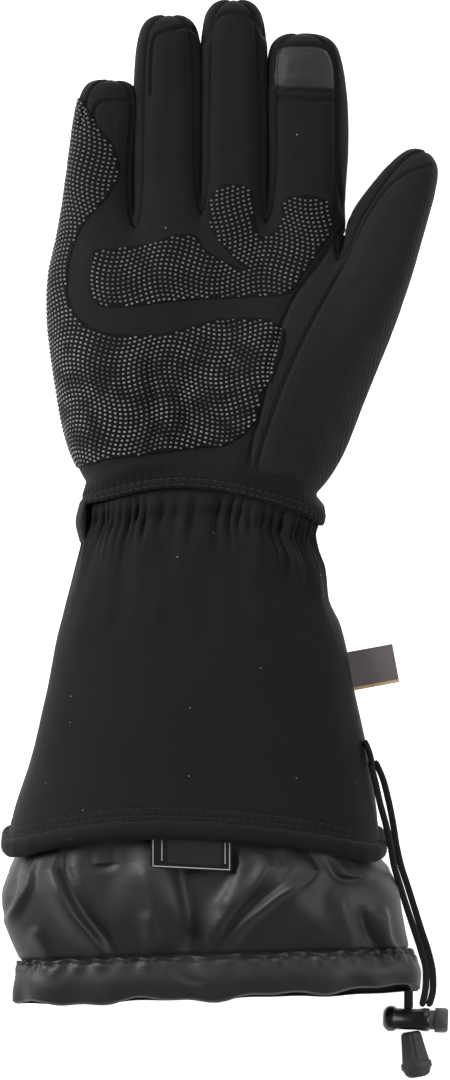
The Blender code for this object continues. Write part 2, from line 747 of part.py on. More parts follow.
def build_hand_hem(collection):
    """The stitched band that closes the hand's lower edge and covers the cuff's top."""
    left, right, top = band_edge()
    x, z = section(left - BAND_PROUD, right + BAND_PROUD, FLOOR, top + BAND_PROUD)
    front = frontness_of(z, FLOOR, top)
    edge = band_line(x, front)
    rings = [np.stack([x, edge + lift, np.maximum(z, FLOOR)], axis=1) for lift in (0, BAND_WIDTH)]
    return tube_object("hand_hem_band", rings, BAND_WALL, collection, FABRIC)


def cuff_droop(x):
    """How far the cuff's front edge hangs below its highest place."""
    apex = HEM_APEX * HEM_WIDTH
    share = (x - apex) / HEM_WIDTH
    drop = np.where(share < 0, HEM_DROP_LEFT / 0.123, HEM_DROP_RIGHT / 0.42)
    return drop * share * share * HEM_WIDTH


def cuff_section(row, proud=0.0):
    """The outer section of the cuff at a row, with its gathers."""
    width = WAIST_WIDTH + row.flare * (HEM_WIDTH - WAIST_WIDTH)
    middle = row.lean * WAIST_WIDTH / 2
    top = WAIST_DEPTH + row.rise * (HEM_DEPTH - WAIST_DEPTH)
    bottom = row.lift * WAIST_DEPTH
    x, z = section(middle - width / 2, middle + width / 2, bottom, top)
    ripple = np.where(np.arange(SIDES) % 2 == 0, 1.0, -1.0) * GATHER_DEPTH * row.gather / 2
    uneven = 0.7 + 0.3 * np.sin(np.arange(SIDES) * 1.9)
    front = frontness_of(z, bottom, top)
    x, z = pushed(x, z, ripple * uneven * front + proud)
    return x, np.maximum(z, FLOOR), front


def cuff_ring(row):
    """One ring of the cuff, whose ends follow the hand's edge and the drooping hem."""
    x, z, front = cuff_section(row)
    start = -BAND_WIDTH / 3
    top_edge = (band_line(x, front) - start) * (1 - row.along) * 0.9
    y = start + top_edge - row.along * (CUFF_LENGTH + front * cuff_droop(x))
    return np.stack([x, y, z], axis=1)


def tucked_ring(along):
    """A ring of the cuff that lies inside the hem band."""
    left, right, top = band_edge()
    x, z = section(left - BAND_PROUD, right + BAND_PROUD, FLOOR, top + BAND_PROUD)
    front = frontness_of(z, FLOOR, top)
    x, z = pushed(x, z, -(BAND_WALL + GAP))
    y = band_line(x, front) + along
    return np.stack([x, y, z], axis=1)


def build_cuff(collection):
    """The flared gauntlet cuff, gathered at the waist and tucked into the hand's hem."""
    rings = [cuff_ring(row) for row in CUFF_ROWS]
    rings += [tucked_ring(0.0), tucked_ring(CUFF_TUCK)]
    return tube_object("gauntlet_cuff", rings, CUFF_WALL, collection, FABRIC)


def hem_line(x, front):
    """Y of the cuff's lower edge."""
    return -BAND_WIDTH / 3 - CUFF_LENGTH - front * cuff_droop(x)


def build_roll(collection):
    """The padded roll along the cuff's lower edge, a closed hoop of oval section."""
    name = "cuff_hem_roll"
    x, z, front = cuff_section(CUFF_ROWS[0])
    nx, nz = section_normals(x, z)
    y = hem_line(x, front) - GAP - ROLL_HEIGHT / 2
    steps = 6
    bm = bmesh.new()
    loops = []
    for k in range(SIDES):
        loop = []
        for s in range(steps):
            turn = 2 * math.pi * (s + 0.5) / steps
            out = (math.cos(turn) + 1 - ROLL_INSIDE) * ROLL_THICKNESS / 2
            down = math.sin(turn) * ROLL_HEIGHT / 2
            point = (x[k] + nx[k] * out, y[k] + down, max(z[k] + nz[k] * out, FLOOR))
            loop.append(bm.verts.new(point))
        loops.append(loop)
    for k in range(SIDES):
        a, b = loops[k], loops[(k + 1) % SIDES]
        for s in range(steps):
            n = (s + 1) % steps
            bm.faces.new((a[s], a[n], b[n], b[s]))
    bmesh.ops.recalc_face_normals(bm, faces=bm.faces)
    mesh = bpy.data.meshes.new(name)
    bm.to_mesh(mesh)
    bm.free()
    mesh.shade_smooth()
    return add_object(name, mesh, collection, FABRIC)


def fold_height(share, along):
    """Height of the skirt's folds at a place across its front."""
    total = np.zeros_like(share)
    for fold in FOLDS:
        centre = fold.top + (fold.bottom - fold.top) * along
        total += fold.height * np.exp(-(((share - centre) / fold.breadth) ** 2))
    return total * FOLD_DEPTH


def skirt_start(x, front):
    """Y of the skirt where it leaves the roll."""
    return hem_line(x, front) - ROLL_HEIGHT


def sewn_ring(drop, inward):
    """A ring of the skirt that lies inside the cuff's hem roll or just above it."""
    x, z, front = cuff_section(CUFF_ROWS[0])
    y = hem_line(x, front) - drop
    x, z = pushed(x, z, -(ROLL_INSIDE * ROLL_THICKNESS / 2 + 2 * GAP + inward))
    return np.stack([x, y, z], axis=1)


def skirt_end(x):
    """Y of the skirt's lower edge, where its casing begins, a little higher at the right."""
    level = -BAND_WIDTH / 3 - CUFF_LENGTH - ROLL_HEIGHT - SKIRT_LENGTH
    return level + x / SKIRT_WIDTH * CASING_SLANT


def skirt_ring(row):
    """One ring of the skirt with its slanting folds."""
    width = row.spread * SKIRT_WIDTH
    middle = row.lean * SKIRT_WIDTH / 2
    top = CASING_DEPTH + row.rise * (SKIRT_DEPTH - CASING_DEPTH)
    bottom = row.lift * SKIRT_DEPTH
    x, z = section(middle - width / 2, middle + width / 2, bottom, top)
    front = frontness_of(z, bottom, top)
    share = (x - middle) / width + 0.5
    x, z = pushed(x, z, fold_height(share, row.along) * row.fold * front)
    begin = skirt_start(x, front)
    y = begin + (skirt_end(x) - begin) * row.along
    return np.stack([x, y, np.maximum(z, FLOOR)], axis=1)


def build_skirt(collection):
    """The thin nylon skirt below the cuff."""
    rings = [skirt_ring(row) for row in SKIRT_ROWS]
    rings += [sewn_ring(ROLL_HEIGHT + GAP, 0.0), sewn_ring(ROLL_HEIGHT * 0.4, 0.0)]
    rings.append(sewn_ring(-SKIRT_TUCK, SKIRT_TUCK * 0.3))
    return tube_object("snow_skirt", rings, SKIRT_WALL, collection, NYLON, 0.45)


def casing_ring(row):
    """One ring of the stitched casing that holds the draw cord."""
    width = row.spread * SKIRT_WIDTH
    middle = row.lean * SKIRT_WIDTH / 2
    x, z = section(middle - width / 2, middle + width / 2, FLOOR, row.rise * CASING_DEPTH)
    front = frontness_of(z, FLOOR, CASING_DEPTH)
    share = (x - middle) / width + 0.5
    x, z = pushed(x, z, fold_height(share, 1.0) * 0.35 * front)
    y = skirt_end(x) - GAP - row.along * CASING_LENGTH
    return np.stack([x, y, np.maximum(z, FLOOR)], axis=1)


def build_casing(collection):
    """The hem tunnel at the skirt's mouth."""
    rings = [casing_ring(row) for row in CASING_ROWS]
    return tube_object("skirt_casing", rings, CASING_WALL, collection, NYLON, 0.45)


def box(name, size, place, turn, collection, color, edge, roughness=0.7):
    """A plate or block with softened edges."""
    mesh = bpy.data.meshes.new(name)
    bm = bmesh.new()
    bmesh.ops.create_cube(bm, size=1.0)
    bmesh.ops.scale(bm, vec=size, verts=bm.verts)
    bm.to_mesh(mesh)
    bm.free()
    obj = add_object(name, mesh, collection, color, roughness)
    obj.location = place
    obj.rotation_euler = turn
    soften = obj.modifiers.new("edges", "BEVEL")
    soften.width = edge
    soften.segments = 1
    return obj


def build_strap(collection):
    """The wrist strap where it comes round the left side of the waist."""
    left, right, top = band_edge()
    x, z = section(left - BAND_PROUD, right + BAND_PROUD, FLOOR, top + BAND_PROUD)
    x, z = pushed(x, z, 1.5 * GAP)
    picks = [k % SIDES for k in range(-3, SIDES // 4 - 5)]
    bm = bmesh.new()
    nx, nz = section_normals(x, z)
    rows = []
    middle = band_line(left, 0.5) - STRAP_WIDTH * 0.30
    for k in picks:
        lane = []
        for share in (-0.5, 0.0, 0.5):
            reach = STRAP_THICKNESS * (1.15 if share == 0 else 0.8)
            y = middle + share * STRAP_WIDTH
            near = bm.verts.new((x[k], y, max(z[k], FLOOR)))
            far_z = max(z[k] + nz[k] * reach, FLOOR)
            far = bm.verts.new((x[k] + nx[k] * reach, y, far_z))
            lane.append((near, far))
        rows.append(lane)
    ring = [[lane[0][0], lane[0][1], lane[1][1], lane[2][1], lane[2][0], lane[1][0]] for lane in rows]
    for a, b in zip(ring, ring[1:]):
        for s in range(6):
            n = (s + 1) % 6
            bm.faces.new((a[s], a[n], b[n], b[s]))
    bm.faces.new(ring[0])
    bm.faces.new(ring[-1][::-1])
    bmesh.ops.recalc_face_normals(bm, faces=bm.faces)
    mesh = bpy.data.meshes.new("wrist_strap")
    bm.to_mesh(mesh)
    bm.free()
    return add_object("wrist_strap", mesh, collection, FABRIC)


def surface_x(obj, y, z):
    """Where the right side of a piece is at a height."""
    mesh = evaluated_mesh(obj)
    tree = BVHTree.FromPolygons(
        [v.co for v in mesh.vertices], [tuple(p.vertices) for p in mesh.polygons]
    )
    hit = tree.ray_cast(Vector((0.3, y, z)), Vector((-1, 0, 0)))[0]
    bpy.data.meshes.remove(mesh)
    return hit.x


def surface_z(obj, x, y):
    """Where the front of a piece is, seen from above."""
    mesh = evaluated_mesh(obj)
    tree = BVHTree.FromPolygons(
        [v.co for v in mesh.vertices], [tuple(p.vertices) for p in mesh.polygons]
    )
    hit = tree.ray_cast(Vector((x, y, 0.3)), Vector((0, 0, -1)))[0]
    bpy.data.meshes.remove(mesh)
    return hit.z


def build_tags(collection, cuff, skirt):
    """The bare tag in the cuff's side seam and the bare care label under its hem."""
    tag_y = -0.528 * CUFF_LENGTH
    tag_z = 0.50 * WAIST_DEPTH
    side = surface_x(cuff, tag_y, tag_z)
    tag_x = side + 3 * GAP + TAG_LENGTH / 2 * math.cos(TAG_TILT)
    box(
        "side_tag", (TAG_LENGTH, TAG_WIDTH, TAG_THICKNESS), (tag_x, tag_y, tag_z),
        (0, 0, TAG_TILT), collection, LABEL_GREY, TAG_THICKNESS / 4,
    )
    label_x = -0.029 * HEM_WIDTH
    start = skirt_start(label_x, 1.0) - 2 * GAP
    ends = (start, start - LABEL_LENGTH)
    high, low = (
        max(surface_z(skirt, label_x + s * LABEL_WIDTH / 2, y) for s in (-1, -0.5, 0, 0.5, 1))
        for y in ends
    )
    slope = math.atan2(high - low, LABEL_LENGTH)
    place = (label_x, sum(ends) / 2, (high + low) / 2 + GAP + LABEL_THICKNESS)
    return box(
        "care_label", (LABEL_WIDTH, LABEL_LENGTH, LABEL_THICKNESS), place,
        (slope, 0, 0), collection, LABEL_GREY, LABEL_THICKNESS / 4,
    )


def smooth_points(points, step):
    """Points spaced evenly along a smooth curve through the chosen ones."""
    chosen = [Vector(p) for p in points]
    chosen = [2 * chosen[0] - chosen[1]] + chosen + [2 * chosen[-1] - chosen[-2]]
    fine = []
    for a, b, c, d in zip(chosen, chosen[1:], chosen[2:], chosen[3:]):
        for k in range(12):
            t = k / 12
            fine.append(0.5 * (
                2 * b + (c - a) * t + (2 * a - 5 * b + 4 * c - d) * t ** 2
                + (3 * b - a - 3 * c + d) * t ** 3
            ))
    fine.append(chosen[-2])
    runs = [0.0]
    for a, b in zip(fine, fine[1:]):
        runs.append(runs[-1] + (b - a).length)
    count = max(2, round(runs[-1] / step) + 1)
    places = np.linspace(0, runs[-1], count)
    axes = [np.interp(places, runs, [p[k] for p in fine]) for k in range(3)]
    return list(zip(*axes))


def cord_tube(name, points, diameter, collection):
    """A cord as one round tube through evenly spaced points."""
    route = smooth_points(points, CORD_STEP)
    curve = bpy.data.curves.new(name, "CURVE")
    curve.dimensions = "3D"
    curve.bevel_depth = diameter / 2
    curve.bevel_resolution = 2
    curve.use_fill_caps = True
    spline = curve.splines.new("POLY")
    spline.points.add(len(route) - 1)
    for point, place in zip(spline.points, route):
        point.co = (*place, 1.0)
    obj = bpy.data.objects.new(name, curve)
    collection.objects.link(obj)
    curve.materials.append(material(name + "_finish", CORD_BLACK, 0.85))
    return obj


def turned(name, profile, collection, color, roughness, sides=16):
    """A piece turned about X: pairs of place along X and radius, both ends closed."""
    bm = bmesh.new()
    rings = []
    for x, radius in profile:
        turns = [2 * math.pi * k / sides for k in range(sides)]
        rings.append([
            bm.verts.new((x, radius * math.cos(t), radius * math.sin(t))) for t in turns
        ])
    for a, b in zip(rings, rings[1:]):
        for k in range(sides):
            n = (k + 1) % sides
            bm.faces.new((a[k], a[n], b[n], b[k]))
    bm.faces.new(rings[0][::-1])
    bm.faces.new(rings[-1])
    bmesh.ops.recalc_face_normals(bm, faces=bm.faces)
    mesh = bpy.data.meshes.new(name)
    bm.to_mesh(mesh)
    bm.free()
    mesh.shade_smooth()
    mesh.set_sharp_from_angle(angle=math.radians(40))
    return add_object(name, mesh, collection, color, roughness)


def build_lock(collection):
    """The barrel of the cord lock, bored for the stem of its push button."""
    half = LOCK_LENGTH / 2
    bore = STEM_RADIUS + GAP
    depth = STEM_LENGTH + BUTTON_TRAVEL + GAP
    rim = LOCK_RADIUS + LOCK_RIM
    profile = (
        (-half, LOCK_RADIUS * 0.62), (-half + 0.0010, LOCK_RADIUS * 0.92), (-half + 0.0022, rim),
        (-half + 0.0042, rim), (-half + 0.0052, LOCK_RADIUS * 0.90), (half * 0.55, LOCK_RADIUS * 0.90),
        (half * 0.75, LOCK_RADIUS), (half - 0.0006, LOCK_RADIUS), (half, LOCK_RADIUS * 0.93),
        (half, bore), (half - depth, bore),
    )
    barrel = turned("cord_lock_barrel", profile, collection, PLASTIC_BLACK, 0.35)
    height = LOCK_RADIUS + LOCK_RIM + GAP / 10
    barrel.location = (*LOCK_CENTRE, height)
    barrel.rotation_euler = (0, 0, LOCK_TURN)
    start = half + BUTTON_TRAVEL + GAP
    button_profile = (
        (half - STEM_LENGTH, STEM_RADIUS), (start, STEM_RADIUS), (start, BUTTON_RADIUS),
        (start + BUTTON_LENGTH - 0.0010, BUTTON_RADIUS), (start + BUTTON_LENGTH, BUTTON_RADIUS * 0.80),
    )
    button = turned("cord_lock_button", button_profile, collection, PLASTIC_GREY, 0.45)
    button.location = barrel.location
    button.rotation_euler = barrel.rotation_euler
    return barrel


def build_cord_end(collection):
    """The ribbed end piece of the draw cord, widening to a collar and a rounded foot."""
    name = "cord_end"
    rows = (
        (0.00, 0.86, 0.86), (0.06, 1.00, 1.00), (0.60, 0.62 + 0.38, 1.0), (0.66, 1.0, 1.0),
        (0.68, 1.10, 1.10), (0.80, 1.10, 1.10), (0.82, 1.00, 1.00), (0.93, 0.84, 0.84),
        (1.00, 0.45, 0.50),
    )
    top = LOCK_CENTRE[1] - LOCK_RADIUS - GAP
    sides = 14
    bm = bmesh.new()
    rings = []
    for along, breadth, depth in rows:
        grow = min(along / 0.68, 1.0)
        half_width = (END_NECK + (END_WIDTH / 1.10 - END_NECK) * grow) * breadth / 2
        half_depth = END_DEPTH * (0.80 + 0.12 * grow) * depth / 2
        ring = []
        for k in range(sides):
            t = 2 * math.pi * k / sides
            rib = 0.95 if (k % 2 and along < 0.67) else 1.0
            ring.append(bm.verts.new((
                math.cos(t) * half_width * rib,
                -along * END_LENGTH,
                math.sin(t) * half_depth * rib,
            )))
        rings.append(ring)
    for a, b in zip(rings, rings[1:]):
        for k in range(sides):
            n = (k + 1) % sides
            bm.faces.new((a[k], a[n], b[n], b[k]))
    bm.faces.new(rings[0])
    bm.faces.new(rings[-1][::-1])
    bmesh.ops.recalc_face_normals(bm, faces=bm.faces)
    mesh = bpy.data.meshes.new(name)
    bm.to_mesh(mesh)
    bm.free()
    mesh.shade_smooth()
    obj = add_object(name, mesh, collection, PLASTIC_BLACK, 0.6)
    obj.location = (LOCK_CENTRE[0] + END_OFFSET, top, END_DEPTH * 0.55)
    obj.rotation_euler = (0, 0, END_TURN)
    return obj


def build_cords(collection, cuff):
    """The cord loop's anchor, its two free strands and the draw cord's short neck."""
    side = surface_x(cuff, INNER_CORD[0][1] + LOOP_LENGTH, INNER_CORD[0][2] - CORD_DIAMETER / 2)
    anchor_y = INNER_CORD[0][1] + LOOP_LENGTH / 2 + CORD_DIAMETER / 2
    box(
        "cord_anchor", (LOOP_THICKNESS, LOOP_LENGTH, LOOP_WIDTH),
        (side + GAP + LOOP_THICKNESS, anchor_y, INNER_CORD[0][2] - CORD_DIAMETER / 2),
        (0, 0, math.radians(7)), collection, CORD_BLACK, LOOP_THICKNESS / 4,
    )
    cord_tube("retainer_cord_inner", INNER_CORD, CORD_DIAMETER, collection)
    cord_tube("retainer_cord_outer", OUTER_CORD, CORD_DIAMETER, collection)
    neck_end = LOCK_CENTRE[1] + LOCK_RADIUS * 0.92 + GAP
    neck_start = skirt_end(NECK_X) - GAP * 2 - CASING_LENGTH
    box(
        "draw_cord_neck", (NECK_WIDTH, neck_start - neck_end, NECK_THICKNESS),
        (NECK_X, (neck_start + neck_end) / 2, LOCK_RADIUS + LOCK_RIM),
        (0, 0, 0), collection, CORD_BLACK, NECK_THICKNESS / 4,
    )


def main():
    """Build every piece of the glove."""
    clear_scene()
    parts = bpy.data.collections.new("heated_glove")
    guides = bpy.data.collections.new("guides")
    for collection in (parts, guides):
        bpy.context.scene.collection.children.link(collection)
    smooth = build_hand(parts, guides)
    build_patch("heel_grip_patch", smooth, HEEL_OUTLINE, parts, guides, GRIP)
    build_patch("finger_grip_patch", smooth, FINGER_OUTLINE, parts, guides, GRIP)
    build_patch("touch_patch", smooth, TOUCH_OUTLINE, parts, guides, TOUCH_GREY)
    build_hand_hem(parts)
    cuff = build_cuff(parts)
    build_roll(parts)
    skirt = build_skirt(parts)
    build_casing(parts)
    build_strap(parts)
    bpy.context.view_layer.update()
    build_tags(parts, cuff, skirt)
    build_lock(parts)
    build_cord_end(parts)
    build_cords(parts, cuff)


main()
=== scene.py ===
"""Looks of a heated gauntlet glove for the right hand, lying on its back with the palm up.

Metres, +Z up out of the palm, +Y towards the fingers, +X towards the thumb, as in the frame.
Tables in millimetres say so.
"""

from __future__ import annotations

import logging
import math
from dataclasses import dataclass
from enum import Enum

import bmesh
import bpy
import numpy as np
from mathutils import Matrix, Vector
from mathutils.bvhtree import BVHTree
from mathutils.kdtree import KDTree

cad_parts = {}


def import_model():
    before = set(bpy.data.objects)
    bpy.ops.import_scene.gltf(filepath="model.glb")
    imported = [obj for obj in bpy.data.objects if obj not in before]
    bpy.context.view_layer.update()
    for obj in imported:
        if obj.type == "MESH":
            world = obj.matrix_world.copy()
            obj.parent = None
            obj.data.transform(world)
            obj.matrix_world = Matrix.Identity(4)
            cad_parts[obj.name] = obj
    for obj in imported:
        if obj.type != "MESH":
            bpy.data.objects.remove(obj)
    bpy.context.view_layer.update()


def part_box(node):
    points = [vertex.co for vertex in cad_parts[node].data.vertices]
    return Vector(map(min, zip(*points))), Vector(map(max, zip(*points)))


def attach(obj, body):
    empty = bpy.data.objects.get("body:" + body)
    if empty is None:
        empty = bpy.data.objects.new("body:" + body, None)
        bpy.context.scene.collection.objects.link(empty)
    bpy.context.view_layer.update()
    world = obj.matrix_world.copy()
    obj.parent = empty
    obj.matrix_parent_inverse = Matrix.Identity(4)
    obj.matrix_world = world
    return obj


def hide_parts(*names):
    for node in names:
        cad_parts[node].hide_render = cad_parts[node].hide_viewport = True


LOG = logging.getLogger("heated_glove")
MM = 0.001
Points = tuple[tuple[float, float], ...]
Socket = bpy.types.NodeSocket

# Sizes shared by the sub-assemblies, as in the solids.
PALM_WIDTH = 0.118
PALM_LENGTH = 0.101
PALM_DEPTH = 0.042
KNUCKLE_DEPTH = 0.033
HALF_PALM = PALM_WIDTH / 2
BAND_WIDTH = 0.009
WAIST_WIDTH = 0.0924
WAIST_DEPTH = 0.040
HEM_WIDTH = 0.1480
HEM_DEPTH = 0.060
CUFF_LENGTH = 0.1242
CUFF_START = -BAND_WIDTH / 3
GAP = 0.0003
# Where the palm's solids begin above the band.
PALM_START = BAND_WIDTH / 2 + GAP
# The touch patch's outline on the index fingertip, in millimetres.
TOUCH_OUTLINE: Points = (
    (29.2, 177.2), (30.8, 181.6), (35.2, 182.8), (45.6, 182.8), (50, 180.8), (52, 176.4), (52.8, 166),
    (41.2, 165.2), (29.6, 166.4),
)


# Finishes


def linear(code: str) -> tuple[float, float, float, float]:
    """Turn an sRGB hex colour into a linear one.

    Args:
        code: Six hex digits.

    Returns:
        Red, green, blue and alpha.
    """
    parts = [int(code[k : k + 2], 16) / 255 for k in (0, 2, 4)]
    flat = [p / 12.92 if p <= 0.04045 else ((p + 0.055) / 1.055) ** 2.4 for p in parts]
    return (*flat, 1.0)


def shaded(code: str, share: float) -> tuple[float, float, float, float]:
    """Make a colour darker, or lighter up to white.

    Args:
        code: Six hex digits.
        share: The factor of its light.

    Returns:
        Red, green, blue and alpha.
    """
    return (*(min(c * share, 1.0) for c in linear(code)[:3]), 1.0)


class Nodes:
    """A material's nodes while it is made. Their inputs are values, or outputs that feed them."""

    def __init__(self, name: str) -> None:
        """Start the named material, with the place on the object for its textures."""
        self.material = bpy.data.materials.new(name)
        self.material.use_nodes = True
        self.tree = self.material.node_tree
        self.place = self.add("ShaderNodeTexCoord").outputs["Object"]

    def add(self, kind: str, inputs: dict | None = None, **settings) -> bpy.types.Node:
        """Add one shader node, set it and wire it.

        Args:
            kind: The node's type name.
            inputs: Socket name or number to what it gets.
            **settings: The node's own properties.

        Returns:
            The node.
        """
        node = self.tree.nodes.new(kind)
        for key, value in settings.items():
            setattr(node, key, value)
        for key, value in (inputs or {}).items():
            if isinstance(value, Socket):
                self.tree.links.new(value, node.inputs[key])
            else:
                node.inputs[key].default_value = value
        return node

    def mix(self, share: object, first: object, second: object) -> Socket:
        """Blend from the first colour at a share of 0 to the second at 1."""
        return self.add("ShaderNodeMix", {0: share, 6: first, 7: second}, data_type="RGBA").outputs[2]

    def math(self, operation: str, *values: object) -> Socket:
        """Work out one number."""
        return self.add("ShaderNodeMath", dict(enumerate(values)), operation=operation).outputs[0]

    def ramp(self, value: Socket, low: float, high: float) -> Socket:
        """Rise from 0 at the low value to 1 at the high one."""
        return self.add("ShaderNodeMapRange", {0: value, 1: low, 2: high}).outputs[0]

    def noise(self, scale: float, detail: float, distortion: float = 0.0) -> Socket:
        """Add a noise texture."""
        inputs = {"Vector": self.place, "Scale": scale, "Detail": detail, "Distortion": distortion}
        return self.add("ShaderNodeTexNoise", inputs).outputs["Fac"]

    def bump(self, height: Socket, strength: float, distance: float, **below: Socket) -> Socket:
        """Turn a height into relief, over the relief below it if there is one."""
        inputs = {"Height": height, "Strength": strength, "Distance": distance, **below}
        return self.add("ShaderNodeBump", inputs).outputs["Normal"]

    def finish(self, tone: Socket, relief: Socket, **values: float) -> bpy.types.Material:
        """Give the shader its colour, relief and gloss.

        Args:
            tone: The colour.
            relief: The relief.
            **values: More of the shader's inputs, with _ for a space.

        Returns:
            The finished material.
        """
        shader = self.tree.nodes["Principled BSDF"]
        self.tree.links.new(tone, shader.inputs["Base Color"])
        self.tree.links.new(relief, shader.inputs["Normal"])
        for key, value in values.items():
            shader.inputs[key.replace("_", " ")].default_value = value
        return self.material


# Blender's wave texture repeats after this length at a scale of 1.
WAVE_REPEAT = math.pi / 10


class Weave(Enum):
    """How a cloth's surface is made, as the angles of its ribs in degrees."""

    SOFTSHELL = (45.0, -45.0)
    TWILL = (14.0,)
    PLAIN = (0.0, 90.0)
    BRAID = (35.0, -35.0)
    SMOOTH = ()


@dataclass(frozen=True)
class Cloth:
    """A woven or knitted finish with ribs whose tops carry a painted highlight, mottling, a little lint and a
    soft sheen.
    """

    name: str
    color: str
    shade: str
    weave: Weave = Weave.SOFTSHELL
    pitch: float = 0.8
    # How far the ribs' tops are tinted lighter: a painted highlight on the raised threads.
    rib: float = 0.25
    relief: float = 0.35
    roughness: float = 0.86
    sheen: float = 0.02
    specular: float = 0.15
    crinkle: float = 0.0
    crinkle_scale: float = 160.0
    lint: float = 0.0

    def ribs(self, nodes: Nodes) -> Socket | None:
        """Weave the cloth's ribs.

        Args:
            nodes: The material's nodes.

        Returns:
            The ribs' height, or None for a smooth cloth.
        """
        height = None
        for angle in self.weave.value:
            turn = (0.0, 0.2, math.radians(angle))
            turned_place = nodes.add("ShaderNodeMapping", {"Vector": nodes.place, "Rotation": turn})
            inputs = {
                "Vector": turned_place.outputs["Vector"], "Scale": WAVE_REPEAT / (self.pitch * MM),
                "Distortion": 0.35, "Detail": 1.0, "Detail Scale": 1.5,
            }
            wave = nodes.add("ShaderNodeTexWave", inputs, bands_direction="X").outputs["Fac"]
            height = wave if height is None else nodes.math("MULTIPLY", height, wave)
        return height

    def linted(self, nodes: Nodes, tone: Socket) -> Socket:
        """Scatter a few pale specks of lint.

        Args:
            nodes: The material's nodes.
            tone: The cloth's colour.

        Returns:
            The colour with its lint.
        """
        specks = nodes.add("ShaderNodeTexVoronoi", {"Vector": nodes.place, "Scale": 210.0})
        chance = nodes.add("ShaderNodeSeparateColor", {"Color": specks.outputs["Color"]}).outputs[0]
        near = nodes.math("LESS_THAN", specks.outputs["Distance"], 0.055)
        chosen = nodes.math("GREATER_THAN", chance, 1 - self.lint)
        return nodes.mix(nodes.math("MULTIPLY", near, chosen), tone, linear("7c7977"))

    def make(self) -> bpy.types.Material:
        """Build the material.

        Returns:
            The finished material.
        """
        nodes = Nodes(self.name)
        tone = nodes.mix(nodes.noise(55.0, 4.0), linear(self.shade), linear(self.color))
        height = nodes.noise(2600.0, 1.0)
        ribs = self.ribs(nodes)
        if ribs is not None:
            height = nodes.math("MULTIPLY_ADD", height, 0.4, ribs)
            # The ribs' tops are tinted up to 2.2 times lighter, a painted highlight on the raised threads.
            tone = nodes.mix(nodes.math("MULTIPLY", ribs, self.rib), tone, shaded(self.color, 2.2))
        if self.lint:
            tone = self.linted(nodes, tone)
        relief = nodes.bump(height, self.relief, 0.00025)
        if self.crinkle:
            rumpled = nodes.noise(self.crinkle_scale, 3.0, 0.6)
            relief = nodes.bump(rumpled, self.crinkle, 0.0012, Normal=relief)
        return nodes.finish(
            tone, relief, Roughness=self.roughness, Specular_IOR_Level=self.specular,
            Sheen_Weight=self.sheen, Sheen_Roughness=0.5,
        )


@dataclass(frozen=True)
class Moulded:
    """A moulded plastic or rubber finish with a fine grain.

    It can be dimmed in patches, as a worn print is, and made darker towards the fingers.
    """

    name: str
    color: str
    roughness: float = 0.4
    grain: float = 0.1
    grain_scale: float = 1400.0
    specular: float = 0.5
    dim: float = 1.0
    fade: float = 1.0

    def make(self) -> bpy.types.Material:
        """Build the material.

        Returns:
            The finished material.
        """
        nodes = Nodes(self.name)
        grain = nodes.noise(self.grain_scale, 2.0)
        tone = nodes.mix(grain, shaded(self.color, 0.75), linear(self.color))
        if self.dim < 1:
            patchy = nodes.ramp(nodes.noise(130.0, 3.0), 0.40, 0.62)
            tone = nodes.mix(patchy, shaded(self.color, self.dim), tone)
        if self.fade < 1:
            along = nodes.add("ShaderNodeSeparateXYZ", {"Vector": nodes.place}).outputs["Y"]
            tone = nodes.mix(nodes.ramp(along, 0.045, 0.125), tone, shaded(self.color, self.fade))
        relief = nodes.bump(grain, self.grain, 0.0002)
        return nodes.finish(tone, relief, Roughness=self.roughness, Specular_IOR_Level=self.specular)


